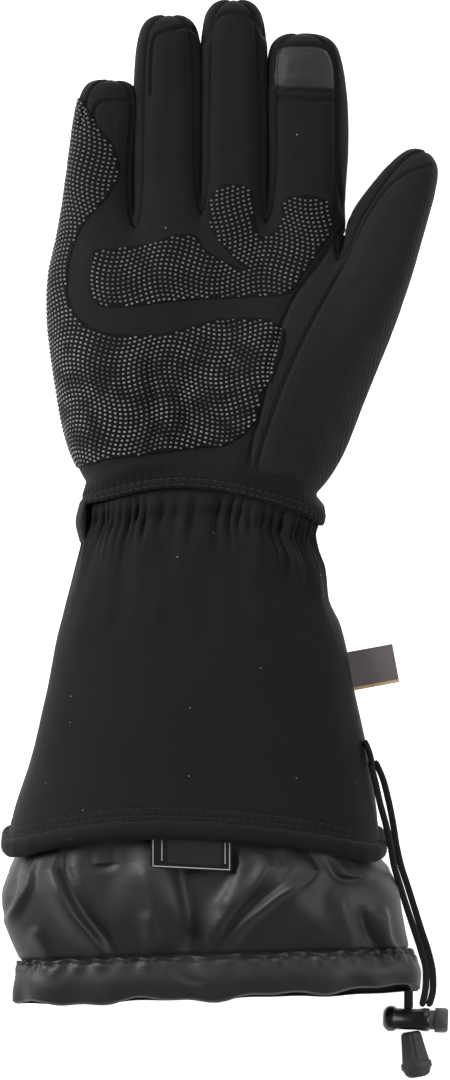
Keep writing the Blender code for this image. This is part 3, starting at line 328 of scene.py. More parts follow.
class Finishes:
    """The glove's finishes, each made once and kept by name."""

    kinds = {
        # Near-black matte softshell of the hand and cuff, with crossed ribs and a few specks of lint.
        "softshell": Cloth("softshell_cloth", "110f10", "0d0b0c", pitch=1.0, rib=0.30, lint=0.10),
        # The thumb's front, a little lighter, with plain slanting ribs.
        "twill": Cloth("thumb_twill", "141213", "0f0d0e", Weave.TWILL, pitch=0.95, rib=0.8, lint=0.05),
        # Soft dark grey inside the hand.
        "lining": Cloth("brushed_lining", "201f20", "191819", Weave.SMOOTH, crinkle=0.2),
        # Thin nylon of the snow skirt, with a soft gloss on its folds.
        "nylon": Cloth(
            "skirt_nylon", "1f1c1f", "171517", Weave.PLAIN, pitch=0.5, rib=0.05, relief=0.14, roughness=0.54,
            sheen=0.0, specular=0.38, crinkle=0.16, crinkle_scale=90.0,
        ),
        # The touch patch's smooth grey cloth.
        "touch_cloth": Cloth(
            "touch_cloth", "1b181a", "161415", Weave.PLAIN, pitch=0.4, rib=0.08, roughness=0.5, specular=0.3
        ),
        # Black braid of the cords.
        "braid": Cloth("cord_braid", "242122", "141213", Weave.BRAID, pitch=0.9, rib=0.9),
        # Black webbing of the strap and the cords' loop.
        "webbing": Cloth("strap_webbing", "191718", "131213", Weave.PLAIN, pitch=1.0, rib=0.3),
        # The side tag's warm grey weave.
        "tag_cloth": Cloth("tag_cloth", "625c5d", "585253", Weave.PLAIN, pitch=0.4, rib=0.1),
        # The tan edge folded round the tag.
        "tag_edge": Cloth("tag_edge_cloth", "b7a078", "9d855c", Weave.PLAIN, pitch=0.4, rib=0.1),
        # The casing's stitches, as dark as its nylon.
        "thread": Cloth("black_thread", "2b2829", "1c1a1b", Weave.BRAID, pitch=0.3, rib=0.4),
        # The band's and cuff's stitches, a shade lighter than their cloth.
        "dark_thread": Cloth("dark_thread", "2c292a", "1d1b1c", Weave.BRAID, pitch=0.3, rib=0.4),
        # Dull black under the grip's dots.
        "grip_base": Moulded("grip_backing", "0b0a0a", 0.8, 0.25, 2600.0, 0.10),
        # The dots' grey silicone, patchy and darker towards the fingers.
        "grip_print": Moulded("grip_silicone", "747372", 0.42, 0.15, 900.0, 0.4, 0.12, 0.35),
        # The care label's glossy black film.
        "label_film": Moulded("label_film", "0c0c0c", 0.3, 0.05),
        # The label's light grey frame and lines.
        "label_line": Moulded("label_line", "9b9a98", 0.5, 0.05),
        # The label's inner field, a shade lighter than its film.
        "label_field": Moulded("label_field", "151414", 0.4, 0.1),
        # The lock's black plastic with a soft shine.
        "lock_plastic": Moulded("lock_plastic", "131213", 0.33, 0.08),
        # The push button's mid grey plastic.
        "button_plastic": Moulded("button_plastic", "474445", 0.5, 0.1),
        # The cord end's dark grey rubber.
        "end_rubber": Moulded("end_rubber", "2a2829", 0.6, 0.3),
    }
    made: dict[str, bpy.types.Material] = {}

    @classmethod
    def get(cls, name: str) -> bpy.types.Material:
        """The named finish's material, made on first use."""
        if name not in cls.made:
            cls.made[name] = cls.kinds[name].make()
        return cls.made[name]


# Meshes


@dataclass
class Piece:
    """One finished mesh of the glove and how it belongs to the frame.

    It stands for the solid of its own name unless it is an added one.
    """

    name: str
    verts: np.ndarray
    faces: np.ndarray | list
    finish: str
    slot: str = ""
    added: bool = False
    body: str = "glove"
    extra: tuple[str, ...] = ()
    face_finish: np.ndarray | None = None
    smooth: bool = True
    sharp: float = 0.0

    def build(self) -> bpy.types.Object:
        """Make the object, dress it and tie it to its body.

        Returns:
            The new object.
        """
        mesh = bpy.data.meshes.new(self.name)
        fill_mesh(mesh, self.verts, self.faces)
        for name in (self.finish, *self.extra):
            mesh.materials.append(Finishes.get(name))
        if self.face_finish is not None:
            mesh.polygons.foreach_set("material_index", self.face_finish.astype(np.int32))
        if self.smooth:
            mesh.shade_smooth()
            if self.sharp:
                mesh.set_sharp_from_angle(angle=math.radians(self.sharp))
        obj = bpy.data.objects.new(self.name, mesh)
        bpy.context.scene.collection.objects.link(obj)
        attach(obj, self.body)
        if not self.added:
            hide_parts(self.name)
        LOG.info("%s: %d points, %d faces", self.name, len(mesh.vertices), len(mesh.polygons))
        return obj


def fill_mesh(mesh: bpy.types.Mesh, verts: np.ndarray, faces: np.ndarray | list) -> None:
    """Fill a mesh from whole arrays.

    Args:
        mesh: An empty mesh.
        verts: Points, one a row.
        faces: Corner numbers, one face a row, or a list of faces of any count.
    """
    if isinstance(faces, np.ndarray):
        count, sides = faces.shape
        mesh.vertices.add(len(verts))
        mesh.vertices.foreach_set("co", np.asarray(verts, np.float32).ravel())
        mesh.loops.add(count * sides)
        mesh.loops.foreach_set("vertex_index", faces.astype(np.int32).ravel())
        mesh.polygons.add(count)
        mesh.polygons.foreach_set("loop_start", np.arange(0, count * sides, sides, dtype=np.int32))
        mesh.update(calc_edges=True)
        mesh.validate()
    else:
        mesh.from_pydata([tuple(p) for p in verts], [], faces)
        mesh.update()


def grid_faces(rows: int, cols: int, wrap: bool, flip: bool = False) -> np.ndarray:
    """Quads of a grid of points.

    Args:
        rows: How many rows of points.
        cols: Points in a row.
        wrap: Whether the last column joins the first.
        flip: Whether to turn the faces over.

    Returns:
        Corner numbers, four a face.
    """
    across = cols if wrap else cols - 1
    r, c = np.meshgrid(np.arange(rows - 1), np.arange(across), indexing="ij")
    n = (c + 1) % cols
    quads = np.stack([r * cols + c, r * cols + n, (r + 1) * cols + n, (r + 1) * cols + c], axis=-1)
    quads = quads.reshape(-1, 4)
    return quads[:, ::-1] if flip else quads


def tube_faces(rows: int, turns: int) -> list:
    """Faces of a tube, closed at both ends.

    Args:
        rows: How many rings of points.
        turns: Points in a ring.

    Returns:
        Corner numbers of each face.
    """
    faces = [tuple(int(v) for v in quad) for quad in grid_faces(rows, turns, True)]
    faces.append(tuple(range(turns))[::-1])
    faces.append(tuple((rows - 1) * turns + k for k in range(turns)))
    return faces


def edges_of(quads: np.ndarray) -> np.ndarray:
    """Both ends of every side of the quads, the lower number first."""
    return np.sort(np.stack([quads, np.roll(quads, -1, axis=1)], axis=-1).reshape(-1, 2), axis=1)


def smooth_step(value: np.ndarray | float) -> np.ndarray:
    """Rise softly from 0 at 0 to 1 at 1, and stay level outside."""
    value = np.clip(value, 0.0, 1.0)
    return value * value * (3 - 2 * value)


def bell(value: np.ndarray | float) -> np.ndarray:
    """Fall off from 1 at 0, the same to both sides."""
    return np.exp(-(value * value))


def squarer(wave: np.ndarray | float, power: np.ndarray | float) -> np.ndarray:
    """Make a wave between -1 and 1 squarer by a power under 1."""
    return np.sign(wave) * np.abs(wave) ** power


def unit(ways: np.ndarray) -> np.ndarray:
    """Directions made one long."""
    return ways / np.maximum(np.linalg.norm(ways, axis=-1, keepdims=True), 1e-9)


def run_along(line: np.ndarray) -> np.ndarray:
    """How far along a line each of its points lies."""
    return np.concatenate([[0], np.cumsum(np.linalg.norm(np.diff(line, axis=0), axis=1))])


def through(places: np.ndarray, values: np.ndarray, at: np.ndarray) -> np.ndarray:
    """A smooth curve through table values (cubic Hermite with limited slopes).

    Args:
        places: Rising places of the table's rows.
        values: One row of values for each place.
        at: Where to read the curve.

    Returns:
        One row of values for each place asked for.
    """
    values = np.asarray(values, float)
    if values.ndim == 1:
        return through(places, values[:, None], at)[:, 0]
    step = np.diff(places)[:, None]
    slope = np.diff(values, axis=0) / step
    tangent = np.vstack([slope[:1], (slope[1:] + slope[:-1]) / 2, slope[-1:]])
    turn = np.vstack([slope[:1] * 0 + 1, np.sign(slope[1:] * slope[:-1]), slope[:1] * 0 + 1])
    tangent = np.where(turn > 0, tangent, tangent * 0.35)
    k = np.clip(np.searchsorted(places, at, side="right") - 1, 0, len(places) - 2)
    t = ((np.clip(at, places[0], places[-1]) - places[k]) / step[k, 0])[:, None]
    h = step[k]
    return (
        values[k] * (2 * t**3 - 3 * t**2 + 1) + tangent[k] * h * (t**3 - 2 * t**2 + t)
        + values[k + 1] * (3 * t**2 - 2 * t**3) + tangent[k + 1] * h * (t**3 - t**2)
    )


def spaced(points: np.ndarray, step: float) -> np.ndarray:
    """Points spaced evenly along a smooth line through the given ones.

    Args:
        points: The line's own points.
        step: The spacing.

    Returns:
        The new points.
    """
    points = np.asarray(points, float)
    run = run_along(points)
    fine = through(run, points, np.linspace(0, run[-1], max(8 * len(points), int(4 * run[-1] / step) + 2)))
    run = run_along(fine)
    at = np.linspace(0, run[-1], max(2, round(run[-1] / step) + 1))
    return np.stack([np.interp(at, run, fine[:, k]) for k in range(fine.shape[1])], axis=1)


def line_distance(places: np.ndarray, line: np.ndarray) -> tuple[np.ndarray, np.ndarray, np.ndarray]:
    """How far places are from a line of straight pieces, and how far along it.

    Args:
        places: Two numbers a row.
        line: The line's points, two numbers a row.

    Returns:
        The distances, the places along the line as shares of its length, and 1 to the left of
        the line or -1 to its right.
    """
    run = run_along(line)
    best = np.full(len(places), np.inf)
    share, side = np.zeros(len(places)), np.ones(len(places))
    for a, b, start, end in zip(line, line[1:], run, run[1:]):
        way, off = b - a, places - a
        t = np.clip((off @ way) / max(way @ way, 1e-12), 0, 1)
        far = np.linalg.norm(off - t[:, None] * way, axis=1)
        near = far < best
        best[near] = far[near]
        share[near] = (start + t[near] * (end - start)) / run[-1]
        side[near] = np.sign(way[0] * off[near, 1] - way[1] * off[near, 0])
    return best, share, side


def inside(places: np.ndarray, outline: np.ndarray) -> np.ndarray:
    """Find the places inside a closed outline (even-odd rule).

    Args:
        places: Two numbers a row.
        outline: The outline's points.

    Returns:
        True for each place inside.
    """
    x, y = places[:, 0], places[:, 1]
    found = np.zeros(len(places), bool)
    for (ax, ay), (bx, by) in zip(outline, np.roll(outline, -1, axis=0)):
        if ay != by:
            crosses = ((ay > y) != (by > y)) & (x < (bx - ax) * (y - ay) / (by - ay) + ax)
            found ^= crosses
    return found


@dataclass(frozen=True)
class Crease:
    """A raised fold or a sunk crease seen from above, in millimetres.

    Its breadth is the same on both sides, or its right side, seen along it, is softer.
    """

    points: Points
    height: float
    breadth: float
    soft: float = 0.0

    def lift(self, places: np.ndarray) -> np.ndarray:
        """How far the crease lifts the cloth at each place.

        Args:
            places: X and Y in metres, a row each.

        Returns:
            Heights in metres, fading towards both ends of the crease.
        """
        line = spaced(np.array(self.points) * MM, 0.003)
        far, share, side = line_distance(places, line)
        wide = np.where(side < 0, self.soft or self.breadth, self.breadth) * MM
        fade = smooth_step(share / 0.22) * smooth_step((1 - share) / 0.22)
        return self.height * MM * bell(far / wide) * fade


def creased(places: np.ndarray, creases: tuple[Crease, ...]) -> np.ndarray:
    """The sum of several creases at each place."""
    return sum((crease.lift(places) for crease in creases), np.zeros(len(places)))


def rumple(places: np.ndarray, pitch: float, seed: float) -> np.ndarray:
    """A soft uneven wave between -1 and 1, a sum of turned sines.

    Args:
        places: Three numbers a row.
        pitch: The wave's size.
        seed: Shifts the wave.

    Returns:
        The wave at each place.
    """
    x, y, z = (places[:, k] / pitch for k in range(3))
    return (
        np.sin(x * 1.7 + np.sin(y * 1.1 + seed) * 1.6 + z) * 0.5
        + np.sin(y * 2.3 + np.sin(x * 0.9 + seed * 2) * 1.3 - z * 0.7) * 0.3
        + np.sin((x + y) * 3.1 + seed * 3 + np.sin(z * 1.7)) * 0.2
    )


def stitch_row(line: np.ndarray, out: np.ndarray, length: float, gap: float, width: float) -> tuple:
    """A row of sewn stitches as small rounded bars on a line.

    Args:
        line: Points of the line on the cloth.
        out: The cloth's outward direction at each point.
        length: A stitch's length.
        gap: The space to the next stitch.
        width: A stitch's width.

    Returns:
        Points and faces.
    """
    run = run_along(line)
    starts = np.arange(0, run[-1] - length, length + gap)
    turns = np.linspace(0, 2 * math.pi, 6, endpoint=False)
    shares = np.array([0.0, 0.12, 0.5, 0.88, 1.0])
    swell = np.array([0.25, 0.8, 1.0, 0.8, 0.25])

    def read(table: np.ndarray, at: np.ndarray) -> np.ndarray:
        """The table's rows at places along the line."""
        return np.stack([np.interp(at, run, table[:, k]) for k in range(3)], axis=-1)

    at = starts[:, None] + shares * length
    up = unit(read(out, at))
    side = np.cross(unit(read(line, at + 1e-4) - read(line, at - 1e-4)), up)
    centre = read(line, at) + up * (swell - 0.75)[None, :, None] * width * 0.5
    radius = swell[None, :, None, None] * width / 2
    ring = side[:, :, None] * np.cos(turns)[:, None] + up[:, :, None] * np.sin(turns)[:, None] * 0.7
    verts = (centre[:, :, None] + ring * radius).reshape(-1, 3)
    one = grid_faces(len(shares), len(turns), True)
    faces = (one[None] + (np.arange(len(starts)) * len(shares) * len(turns))[:, None, None]).reshape(-1, 4)
    return verts, faces


def ribbon(path: np.ndarray, side: np.ndarray, width: float, thick: float, turns: int = 14) -> tuple:
    """A flat cord: an oval section carried along a path and closed at both ends.

    Args:
        path: The cord's middle line.
        side: The direction of the cord's width at each point.
        width: The section's width.
        thick: The section's thickness.
        turns: Points round the section.

    Returns:
        Points and faces, with the ends closed by a smaller ring.
    """
    ahead = unit(np.gradient(path, axis=0))
    side = unit(side - ahead * (side * ahead).sum(1, keepdims=True))
    up = np.cross(side, ahead)
    turn = np.linspace(0, 2 * math.pi, turns, endpoint=False)
    across = squarer(np.cos(turn), 0.7) * width / 2
    above = squarer(np.sin(turn), 0.7) * thick / 2
    size = np.ones((len(path), 1, 1))
    size[0] = size[-1] = 0.5
    rings = path[:, None] + (side[:, None] * across[:, None] + up[:, None] * above[:, None]) * size
    return rings.reshape(-1, 3), tube_faces(len(path), turns)


def revolve(profile: np.ndarray, turns: int = 48) -> tuple:
    """A turned piece about X, closed at both ends.

    Args:
        profile: Place along X and radius, a row each.
        turns: Points round the piece.

    Returns:
        Points and faces.
    """
    turn = np.linspace(0, 2 * math.pi, turns, endpoint=False)
    along, radius = profile[:, :1] + 0 * turn, profile[:, 1:]
    verts = np.stack([along, radius * np.cos(turn), radius * np.sin(turn)], axis=-1)
    return verts.reshape(-1, 3), tube_faces(len(profile), turns)


# Hand


# Panels by their faces' tags.
PALM, BACK, PINKY_SIDE, THUMB, THUMB_BACK, GUSSET, PINKY_RING, RING_MIDDLE, MIDDLE_INDEX = range(9)


def attribute(items: bpy.types.bpy_prop_collection, name: str, kind: type, each: int = 1) -> np.ndarray:
    """Read one attribute of all of a mesh's points, corners or faces.

    Args:
        items: The mesh's points, corners or faces.
        name: The attribute's name.
        kind: The numbers' type.
        each: How many numbers one item has.

    Returns:
        The numbers, an item a row.
    """
    found = np.empty(len(items) * each, kind)
    items.foreach_get(name, found)
    return found.reshape(-1, each)


@dataclass(frozen=True)
class PalmRow:
    """A row of the palm: shares of PALM_LENGTH, half the PALM_WIDTH and PALM_DEPTH."""

    along: float
    left: float
    seam: float
    right: float
    edge: float
    edge_along: float
    rise: float


@dataclass(frozen=True)
class Finger:
    """A finger: root and tip in shares of half the PALM_WIDTH, then its own sizes."""

    root: float
    tip: float
    length: float
    width: float
    depth: float
    bulge: float = 1.0


@dataclass
class Surface:
    """A refined surface of the hand as whole arrays."""

    verts: np.ndarray
    normals: np.ndarray
    quads: np.ndarray
    tags: np.ndarray

    def part(self, chosen: np.ndarray) -> tuple[np.ndarray, np.ndarray, np.ndarray]:
        """The chosen quads on their own.

        Args:
            chosen: True for each quad to keep.

        Returns:
            The numbers of the kept points, the quads renumbered, and the border's points.
        """
        quads = self.quads[chosen]
        kept, flat = np.unique(quads, return_inverse=True)
        quads = flat.reshape(-1, 4)
        edges = edges_of(quads)
        keys, uses = np.unique(edges[:, 0] * len(kept) + edges[:, 1], return_counts=True)
        alone = keys[uses == 1]
        return kept, quads, np.unique(np.concatenate([alone // len(kept), alone % len(kept)]))

    def tree(self) -> BVHTree:
        """The surface ready for rays."""
        return BVHTree.FromPolygons(self.verts.tolist(), self.quads.tolist())


@dataclass
class Hand:
    """The padded hand: nine sewn panels over one form, and its lining."""

    wall: float = 0.0032
    finger_depth: float = 0.026
    tip_rise: float = 0.006
    thumb_length: float = 0.0425
    thumb_spread: float = 0.0390
    thumb_depth: float = 0.028
    thumb_angle: float = math.radians(60)
    groove: float = 0.95
    welt: float = 0.16
    puff: float = 0.35
    press: float = 0.7
    seam_step: float = 0.003
    # The cage's fingers are drawn fuller, because rounding takes some of them away.
    swell: float = 1.05
    corners: Points = (
        (-0.80, 0.84), (0, 1), (0.80, 0.84), (1, 0), (0.80, -0.84), (0, -1), (-0.80, -0.84), (-1, 0),
    )
    fine: Surface | None = None
    panels: tuple[str, ...] = (
        "palm_panel", "back_panel", "pinky_side_panel", "thumb_panel", "thumb_back_panel",
        "thumb_gusset", "fourchette_pinky_ring", "fourchette_ring_middle", "fourchette_middle_index",
    )
    # Panels that the photo shows from above are refined more.
    shown: tuple[int, ...] = (PALM, PINKY_SIDE, THUMB)
    # Rows of the palm's cage: along, left, seam, right, edge, edge along, rise.
    rows: tuple[PalmRow, ...] = (
        PalmRow(0.000, -0.800, 0.280, 0.640, 0.825, 0.000, 0.98),
        PalmRow(0.130, -0.910, 0.300, 0.740, 0.975, 0.100, 1.00),
        PalmRow(0.285, -0.978, 0.355, 0.840, 1.100, 0.235, 1.04),
        PalmRow(0.470, -1.030, 0.415, 0.930, 1.240, 0.400, 1.06),
        PalmRow(0.670, -1.075, 0.525, 0.970, 1.330, 0.640, 1.00),
        PalmRow(0.880, -1.065, 0.715, 0.930, 0.975, 1.010, 0.90),
    )
    # Knuckle row: x, along and rise of each column.
    knuckles: tuple[tuple[float, float, float], ...] = (
        (-0.915, 0.985, 0.80), (-0.720, 0.985, 1.02), (-0.447, 0.995, 0.90), (-0.225, 1.030, 1.06),
        (-0.007, 1.055, 0.94), (0.210, 1.030, 1.06), (0.423, 1.010, 0.92), (0.690, 1.040, 1.04),
        (0.900, 1.105, 0.80),
    )
    # Where the fingers part, in the same columns, and the knuckle row's left and right ends.
    crotches: tuple[tuple[float, float, float], ...] = (
        (-0.447, 1.010, 0.45), (-0.007, 1.075, 0.45), (0.423, 1.025, 0.45),
    )
    outlines: tuple[tuple[float, float, float], ...] = ((-1.005, 0.985, 0.45), (0.990, 1.150, 0.45))
    # Columns across the palm as shares of the way to its seam, and how high each one stands.
    shares: tuple[float, ...] = (0.0, 0.155, 0.308, 0.444, 0.579, 0.710, 0.842, 1.0)
    column_rise: tuple[float, ...] = (0.84, 0.96, 1.0, 1.0, 0.97, 0.96, 0.98, 1.03, 0.93)
    # Fingers: root, tip, length, width, depth, bulge.
    fingers: tuple[Finger, ...] = (
        Finger(-0.743, -0.612, 0.0612, 0.0268, 0.90),
        Finger(-0.240, -0.224, 0.0868, 0.0272, 1.00),
        Finger(0.222, 0.214, 0.0930, 0.0272, 1.02),
        Finger(0.722, 0.660, 0.0796, 0.0292, 1.02, 1.27),
    )
    # Finger rings: along, breadth, depth, curl.
    finger_rings: tuple[tuple[float, ...], ...] = (
        (0.42, 1.00, 1.00, 0.15), (0.85, 0.98, 0.95, 0.65), (0.980, 0.72, 0.66, 0.95),
    )
    # Thumb rings: inner along, inner out, outer along, outer out, depth, rise.
    thumb_rings: tuple[tuple[float, ...], ...] = (
        (0.02, 0.030, -0.42, 1.005, 1.12, 0.56), (0.34, 0.065, 0.13, 0.840, 1.00, 0.60),
        (0.66, 0.120, 0.56, 0.735, 0.92, 0.63), (0.89, 0.235, 0.85, 0.615, 0.62, 0.66),
    )
    # Seams drawn on the palm side, in millimetres. The last is the thumb's second one.
    seams: tuple[Points, ...] = (
        ((91.2, 135.2), (81.6, 131.6), (74.4, 126), (68.4, 118), (63.6, 109.6), (57.2, 96), (49.2, 82),
         (42.4, 69.2), (33.6, 50), (29.2, 38.4), (23.6, 21.2), (20, 7.6)),
        ((50.4, 183.6), (52.8, 177.2), (53.6, 166.8), (53.6, 146), (54, 132.4), (56.4, 116.4)),
        ((-20.4, 163.2), (-20, 178.4), (-18.4, 186.8), (-12, 189.2), (-6, 190.4), (-1.2, 188)),
        ((2.4, 185.2), (4, 190), (6.8, 194.4), (11.2, 196), (16.8, 195.2), (21.6, 192.4), (24.4, 187.6)),
        ((-42.4, 150), (-43.2, 156.4), (-41.6, 159.6), (-37.6, 160.8), (-28.4, 160.8)),
        TOUCH_OUTLINE + TOUCH_OUTLINE[:1],
        ((58.6, 112.6), (53.6, 106.2), (45.4, 94.0), (36.4, 81.4), (28.2, 60.2), (24.2, 40.6), (20.0, 24)),
    )
    # Folds and hollows of the padding: points, height, breadth.
    creases: tuple[Crease, ...] = (
        Crease(((26, 164.6), (34, 163.9), (44, 163.2), (56, 163.6)), 0.55, 0.8),
        Crease(((26, 162.6), (34, 161.4), (44, 160.6), (56, 161.4)), -1.3, 1.0),
        Crease(((-30, 122), (-31, 140), (-30, 156)), -0.3, 3.0),
        Crease(((-20, 138), (-12, 136), (-4, 138)), -0.35, 3.0),
        Crease(((4, 142), (12, 140), (22, 143)), -0.35, 3.0),
        Crease(((-19, 128), (-10, 131), (-3, 127)), -0.25, 2.2),
        Crease(((30, 141), (40, 138), (50, 142)), -0.4, 3.0),
        Crease(((60, 92), (70, 86), (82, 88)), -0.45, 4.0),
        Crease(((62, 70), (70, 62), (76, 60)), -0.4, 4.0),
        Crease(((48, 40), (54, 30), (58, 22)), -0.5, 4.0),
        Crease(((36, 30), (40, 18), (42, 10)), -0.5, 3.0),
        Crease(((28, 26), (29, 16), (30, 8)), 0.4, 2.5),
        Crease(((-21, 64), (-19.5, 48), (-18, 32), (-17, 18)), -1.0, 2.2),
        Crease(((-9, 62), (-10, 46), (-11, 30), (-11, 18)), 0.6, 4.0),
        Crease(((-8, 46), (-6, 38), (-3, 26)), -0.7, 1.8),
        Crease(((6, 64), (6, 48), (4, 32)), 0.5, 4.5),
        Crease(((-44, 62), (-40, 44), (-38, 24)), 0.5, 6.0),
        Crease(((-24, 104), (-22, 94), (-24, 82)), -0.5, 3.0),
        Crease(((-4, 104), (2, 94), (4, 82)), 0.5, 4.0),
        Crease(((20, 104), (26, 94), (34, 88)), -0.7, 2.5),
        Crease(((-30, 14), (-29, 10), (-28, 3)), -0.35, 2.0),
        Crease(((-12, 16), (-12, 10), (-11, 4)), -0.35, 2.0),
        Crease(((4, 16), (5, 10), (5, 4)), -0.4, 2.0),
    )

    def palm_ring(self, bm: bmesh.types.BMesh, row: PalmRow) -> list:
        """One closed row of the palm's cage, over the top from left to right and back below.

        Args:
            bm: The cage.
            row: The row's shares.

        Returns:
            The row's points.
        """
        left, seam, right = (share * HALF_PALM for share in (row.left, row.seam, row.right))
        corner = left * 0.88
        xs = [corner + share * (seam - corner) for share in self.shares] + [right]
        side = PALM_DEPTH * 0.44

        def place(x: float, along: float, z: float) -> bmesh.types.BMVert:
            """One point, which follows the band's line near the wrist."""
            fade = 1 - smooth_step(along / 0.4)
            edge = Band.line(x, float(smooth_step(z / (0.6 * PALM_DEPTH)))) * fade
            y = BAND_WIDTH + 3 * GAP + edge + along * PALM_LENGTH - (1 - fade) * BAND_WIDTH / 2
            return bm.verts.new((x, y, z))

        ring = [place(x, row.along, PALM_DEPTH * row.rise * r) for x, r in zip(xs, self.column_rise)]
        ring.append(place(row.edge * HALF_PALM * 1.02, row.edge_along, side))
        ring += [place(x * 0.97, row.along, 0.0) for x in reversed(xs)]
        ring.append(place(left * 1.035, row.along, side))
        return ring

    def boxy_ring(self, bm: bmesh.types.BMesh, centre: Vector, across: Vector, size: tuple[float, float],
                  bulge: float = 1.0) -> list:
        """Eight points round a finger: a rounded box seen along the finger.

        Args:
            bm: The cage.
            centre: The ring's middle.
            across: The finger's direction across.
            size: Half its breadth and half its depth.
            bulge: How much fuller the ring is on its right side.

        Returns:
            The ring's points.
        """
        ring = []
        for x, z in self.corners:
            point = centre + across * (x * size[0] * self.swell * (bulge if x > 0 else 1.0))
            point.z = max(point.z + z * size[1] * self.swell, 0.0)
            ring.append(bm.verts.new(point))
        return ring

    def grow(self, bm: bmesh.types.BMesh, base: list, rings: list, tip: Vector, tags: tuple) -> None:
        """Skin a finger or thumb from its base through its rings to its closed tip.

        Args:
            bm: The cage.
            base: Eight points round the opening.
            rings: Rings of eight points.
            tip: The last point.
            tags: The panel of each side.
        """
        for ring in rings:
            for k in range(8):
                n = (k + 1) % 8
                bm.faces.new((base[k], base[n], ring[n], ring[k])).material_index = tags[k]
            base = ring
        centre = bm.verts.new(tip)
        for k in range(0, 8, 2):
            bm.faces.new((base[k], base[k + 1], base[(k + 2) % 8], centre)).material_index = tags[k]

    def finger(self, bm: bmesh.types.BMesh, base: list, finger: Finger, tags: tuple) -> None:
        """Grow one finger from its base.

        Args:
            bm: The cage.
            base: Eight points round the finger's root.
            finger: The finger's sizes.
            tags: The panel of each side.
        """
        root_y = PALM_START + PALM_LENGTH * 1.02
        root = Vector((finger.root * HALF_PALM, root_y, 0))
        tip = Vector((finger.tip * HALF_PALM, root_y + finger.length, 0))
        axis = (tip - root).normalized()
        half = self.finger_depth * finger.depth / 2
        rings = []
        for along, breadth, depth, curl in self.finger_rings:
            centre = root.lerp(tip, along)
            centre.z = half + curl * self.tip_rise
            size = (finger.width * breadth / 2, half * depth)
            rings.append(self.boxy_ring(bm, centre, Vector((axis.y, -axis.x, 0)), size, finger.bulge))
        cap = root.lerp(tip, 1.030)
        cap.z = half + self.tip_rise
        self.grow(bm, base, rings, cap, tags)

    def thumb(self, bm: bmesh.types.BMesh, base: tuple) -> None:
        """Grow the thumb from the opening in the palm's right side.

        Args:
            bm: The cage.
            base: Eight points round the opening.
        """
        crotch = Vector((0.955 * HALF_PALM, BAND_WIDTH / 2 + 1.085 * PALM_LENGTH, 0))
        axis = Vector((math.cos(self.thumb_angle), math.sin(self.thumb_angle), 0))
        out = Vector((axis.y, -axis.x, 0))
        rings = []
        for row in self.thumb_rings:
            inner = crotch + axis * row[0] * self.thumb_length + out * row[1] * self.thumb_spread
            outer = crotch + axis * row[2] * self.thumb_length + out * row[3] * self.thumb_spread
            centre = (inner + outer) / 2
            centre.z = row[5] * PALM_DEPTH
            across = outer - inner
            size = (across.length / 2, self.thumb_depth * row[4] / 2)
            rings.append(self.boxy_ring(bm, centre, across.normalized(), size))
        cap = crotch + axis * self.thumb_length + out * 0.425 * self.thumb_spread
        cap.z = 0.67 * PALM_DEPTH
        self.grow(bm, base, rings, cap, (THUMB,) * 4 + (THUMB_BACK,) * 2 + (GUSSET,) * 2)

    def tag(self, row: int, column: int) -> int:
        """The panel that a face of the palm belongs to."""
        if column < 7 or (column == 7 and row == 5):
            return PALM
        if column == 7 or (column in (8, 9) and row < 3):
            return THUMB
        return BACK if column < 18 else PINKY_SIDE

    def cage(self) -> bmesh.types.BMesh:
        """The whole hand as one coarse cage, open at the wrist, its faces tagged by panel.

        Returns:
            The cage.
        """
        bm = bmesh.new()

        def knuckle(place: tuple[float, float, float], rise: float = 0.0) -> bmesh.types.BMVert:
            """A point of the knuckle row, low or raised."""
            y = PALM_START + place[1] * PALM_LENGTH
            return bm.verts.new((place[0] * HALF_PALM, y, place[2] * KNUCKLE_DEPTH * rise))

        rows = [self.palm_ring(bm, row) for row in self.rows]
        last = [knuckle(place, 1.0) for place in (*self.knuckles, self.outlines[1])]
        last += [knuckle(place) for place in reversed(self.knuckles)] + [knuckle(self.outlines[0], 1.0)]
        rows.append(last)
        # The thumb's opening takes four faces and the point between them.
        for r in range(6):
            for c in range(20):
                if not (r in (3, 4) and c in (8, 9)):
                    n = (c + 1) % 20
                    face = bm.faces.new((rows[r][c], rows[r][n], rows[r + 1][n], rows[r + 1][c]))
                    face.material_index = self.tag(r, c)
        bm.verts.remove(rows[4][9])
        opening = ((5, 8), (4, 8), (3, 8), (3, 9), (3, 10), (4, 10), (5, 10), (5, 9))
        self.thumb(bm, tuple(rows[r][c] for r, c in opening))
        middles = [last[19]] + [knuckle(place, 1.0) for place in self.crotches] + [last[9]]
        for i, finger in enumerate(self.fingers):
            t = 2 * i
            base = last[t : t + 3] + [middles[i + 1]] + last[16 - t : 19 - t] + [middles[i]]
            left = (PINKY_SIDE, PINKY_RING, RING_MIDDLE, MIDDLE_INDEX)[i]
            right = (PINKY_RING, RING_MIDDLE, MIDDLE_INDEX, BACK)[i]
            self.finger(bm, base, finger, (PALM, PALM, right, right, BACK, BACK, left, left))
        return bm

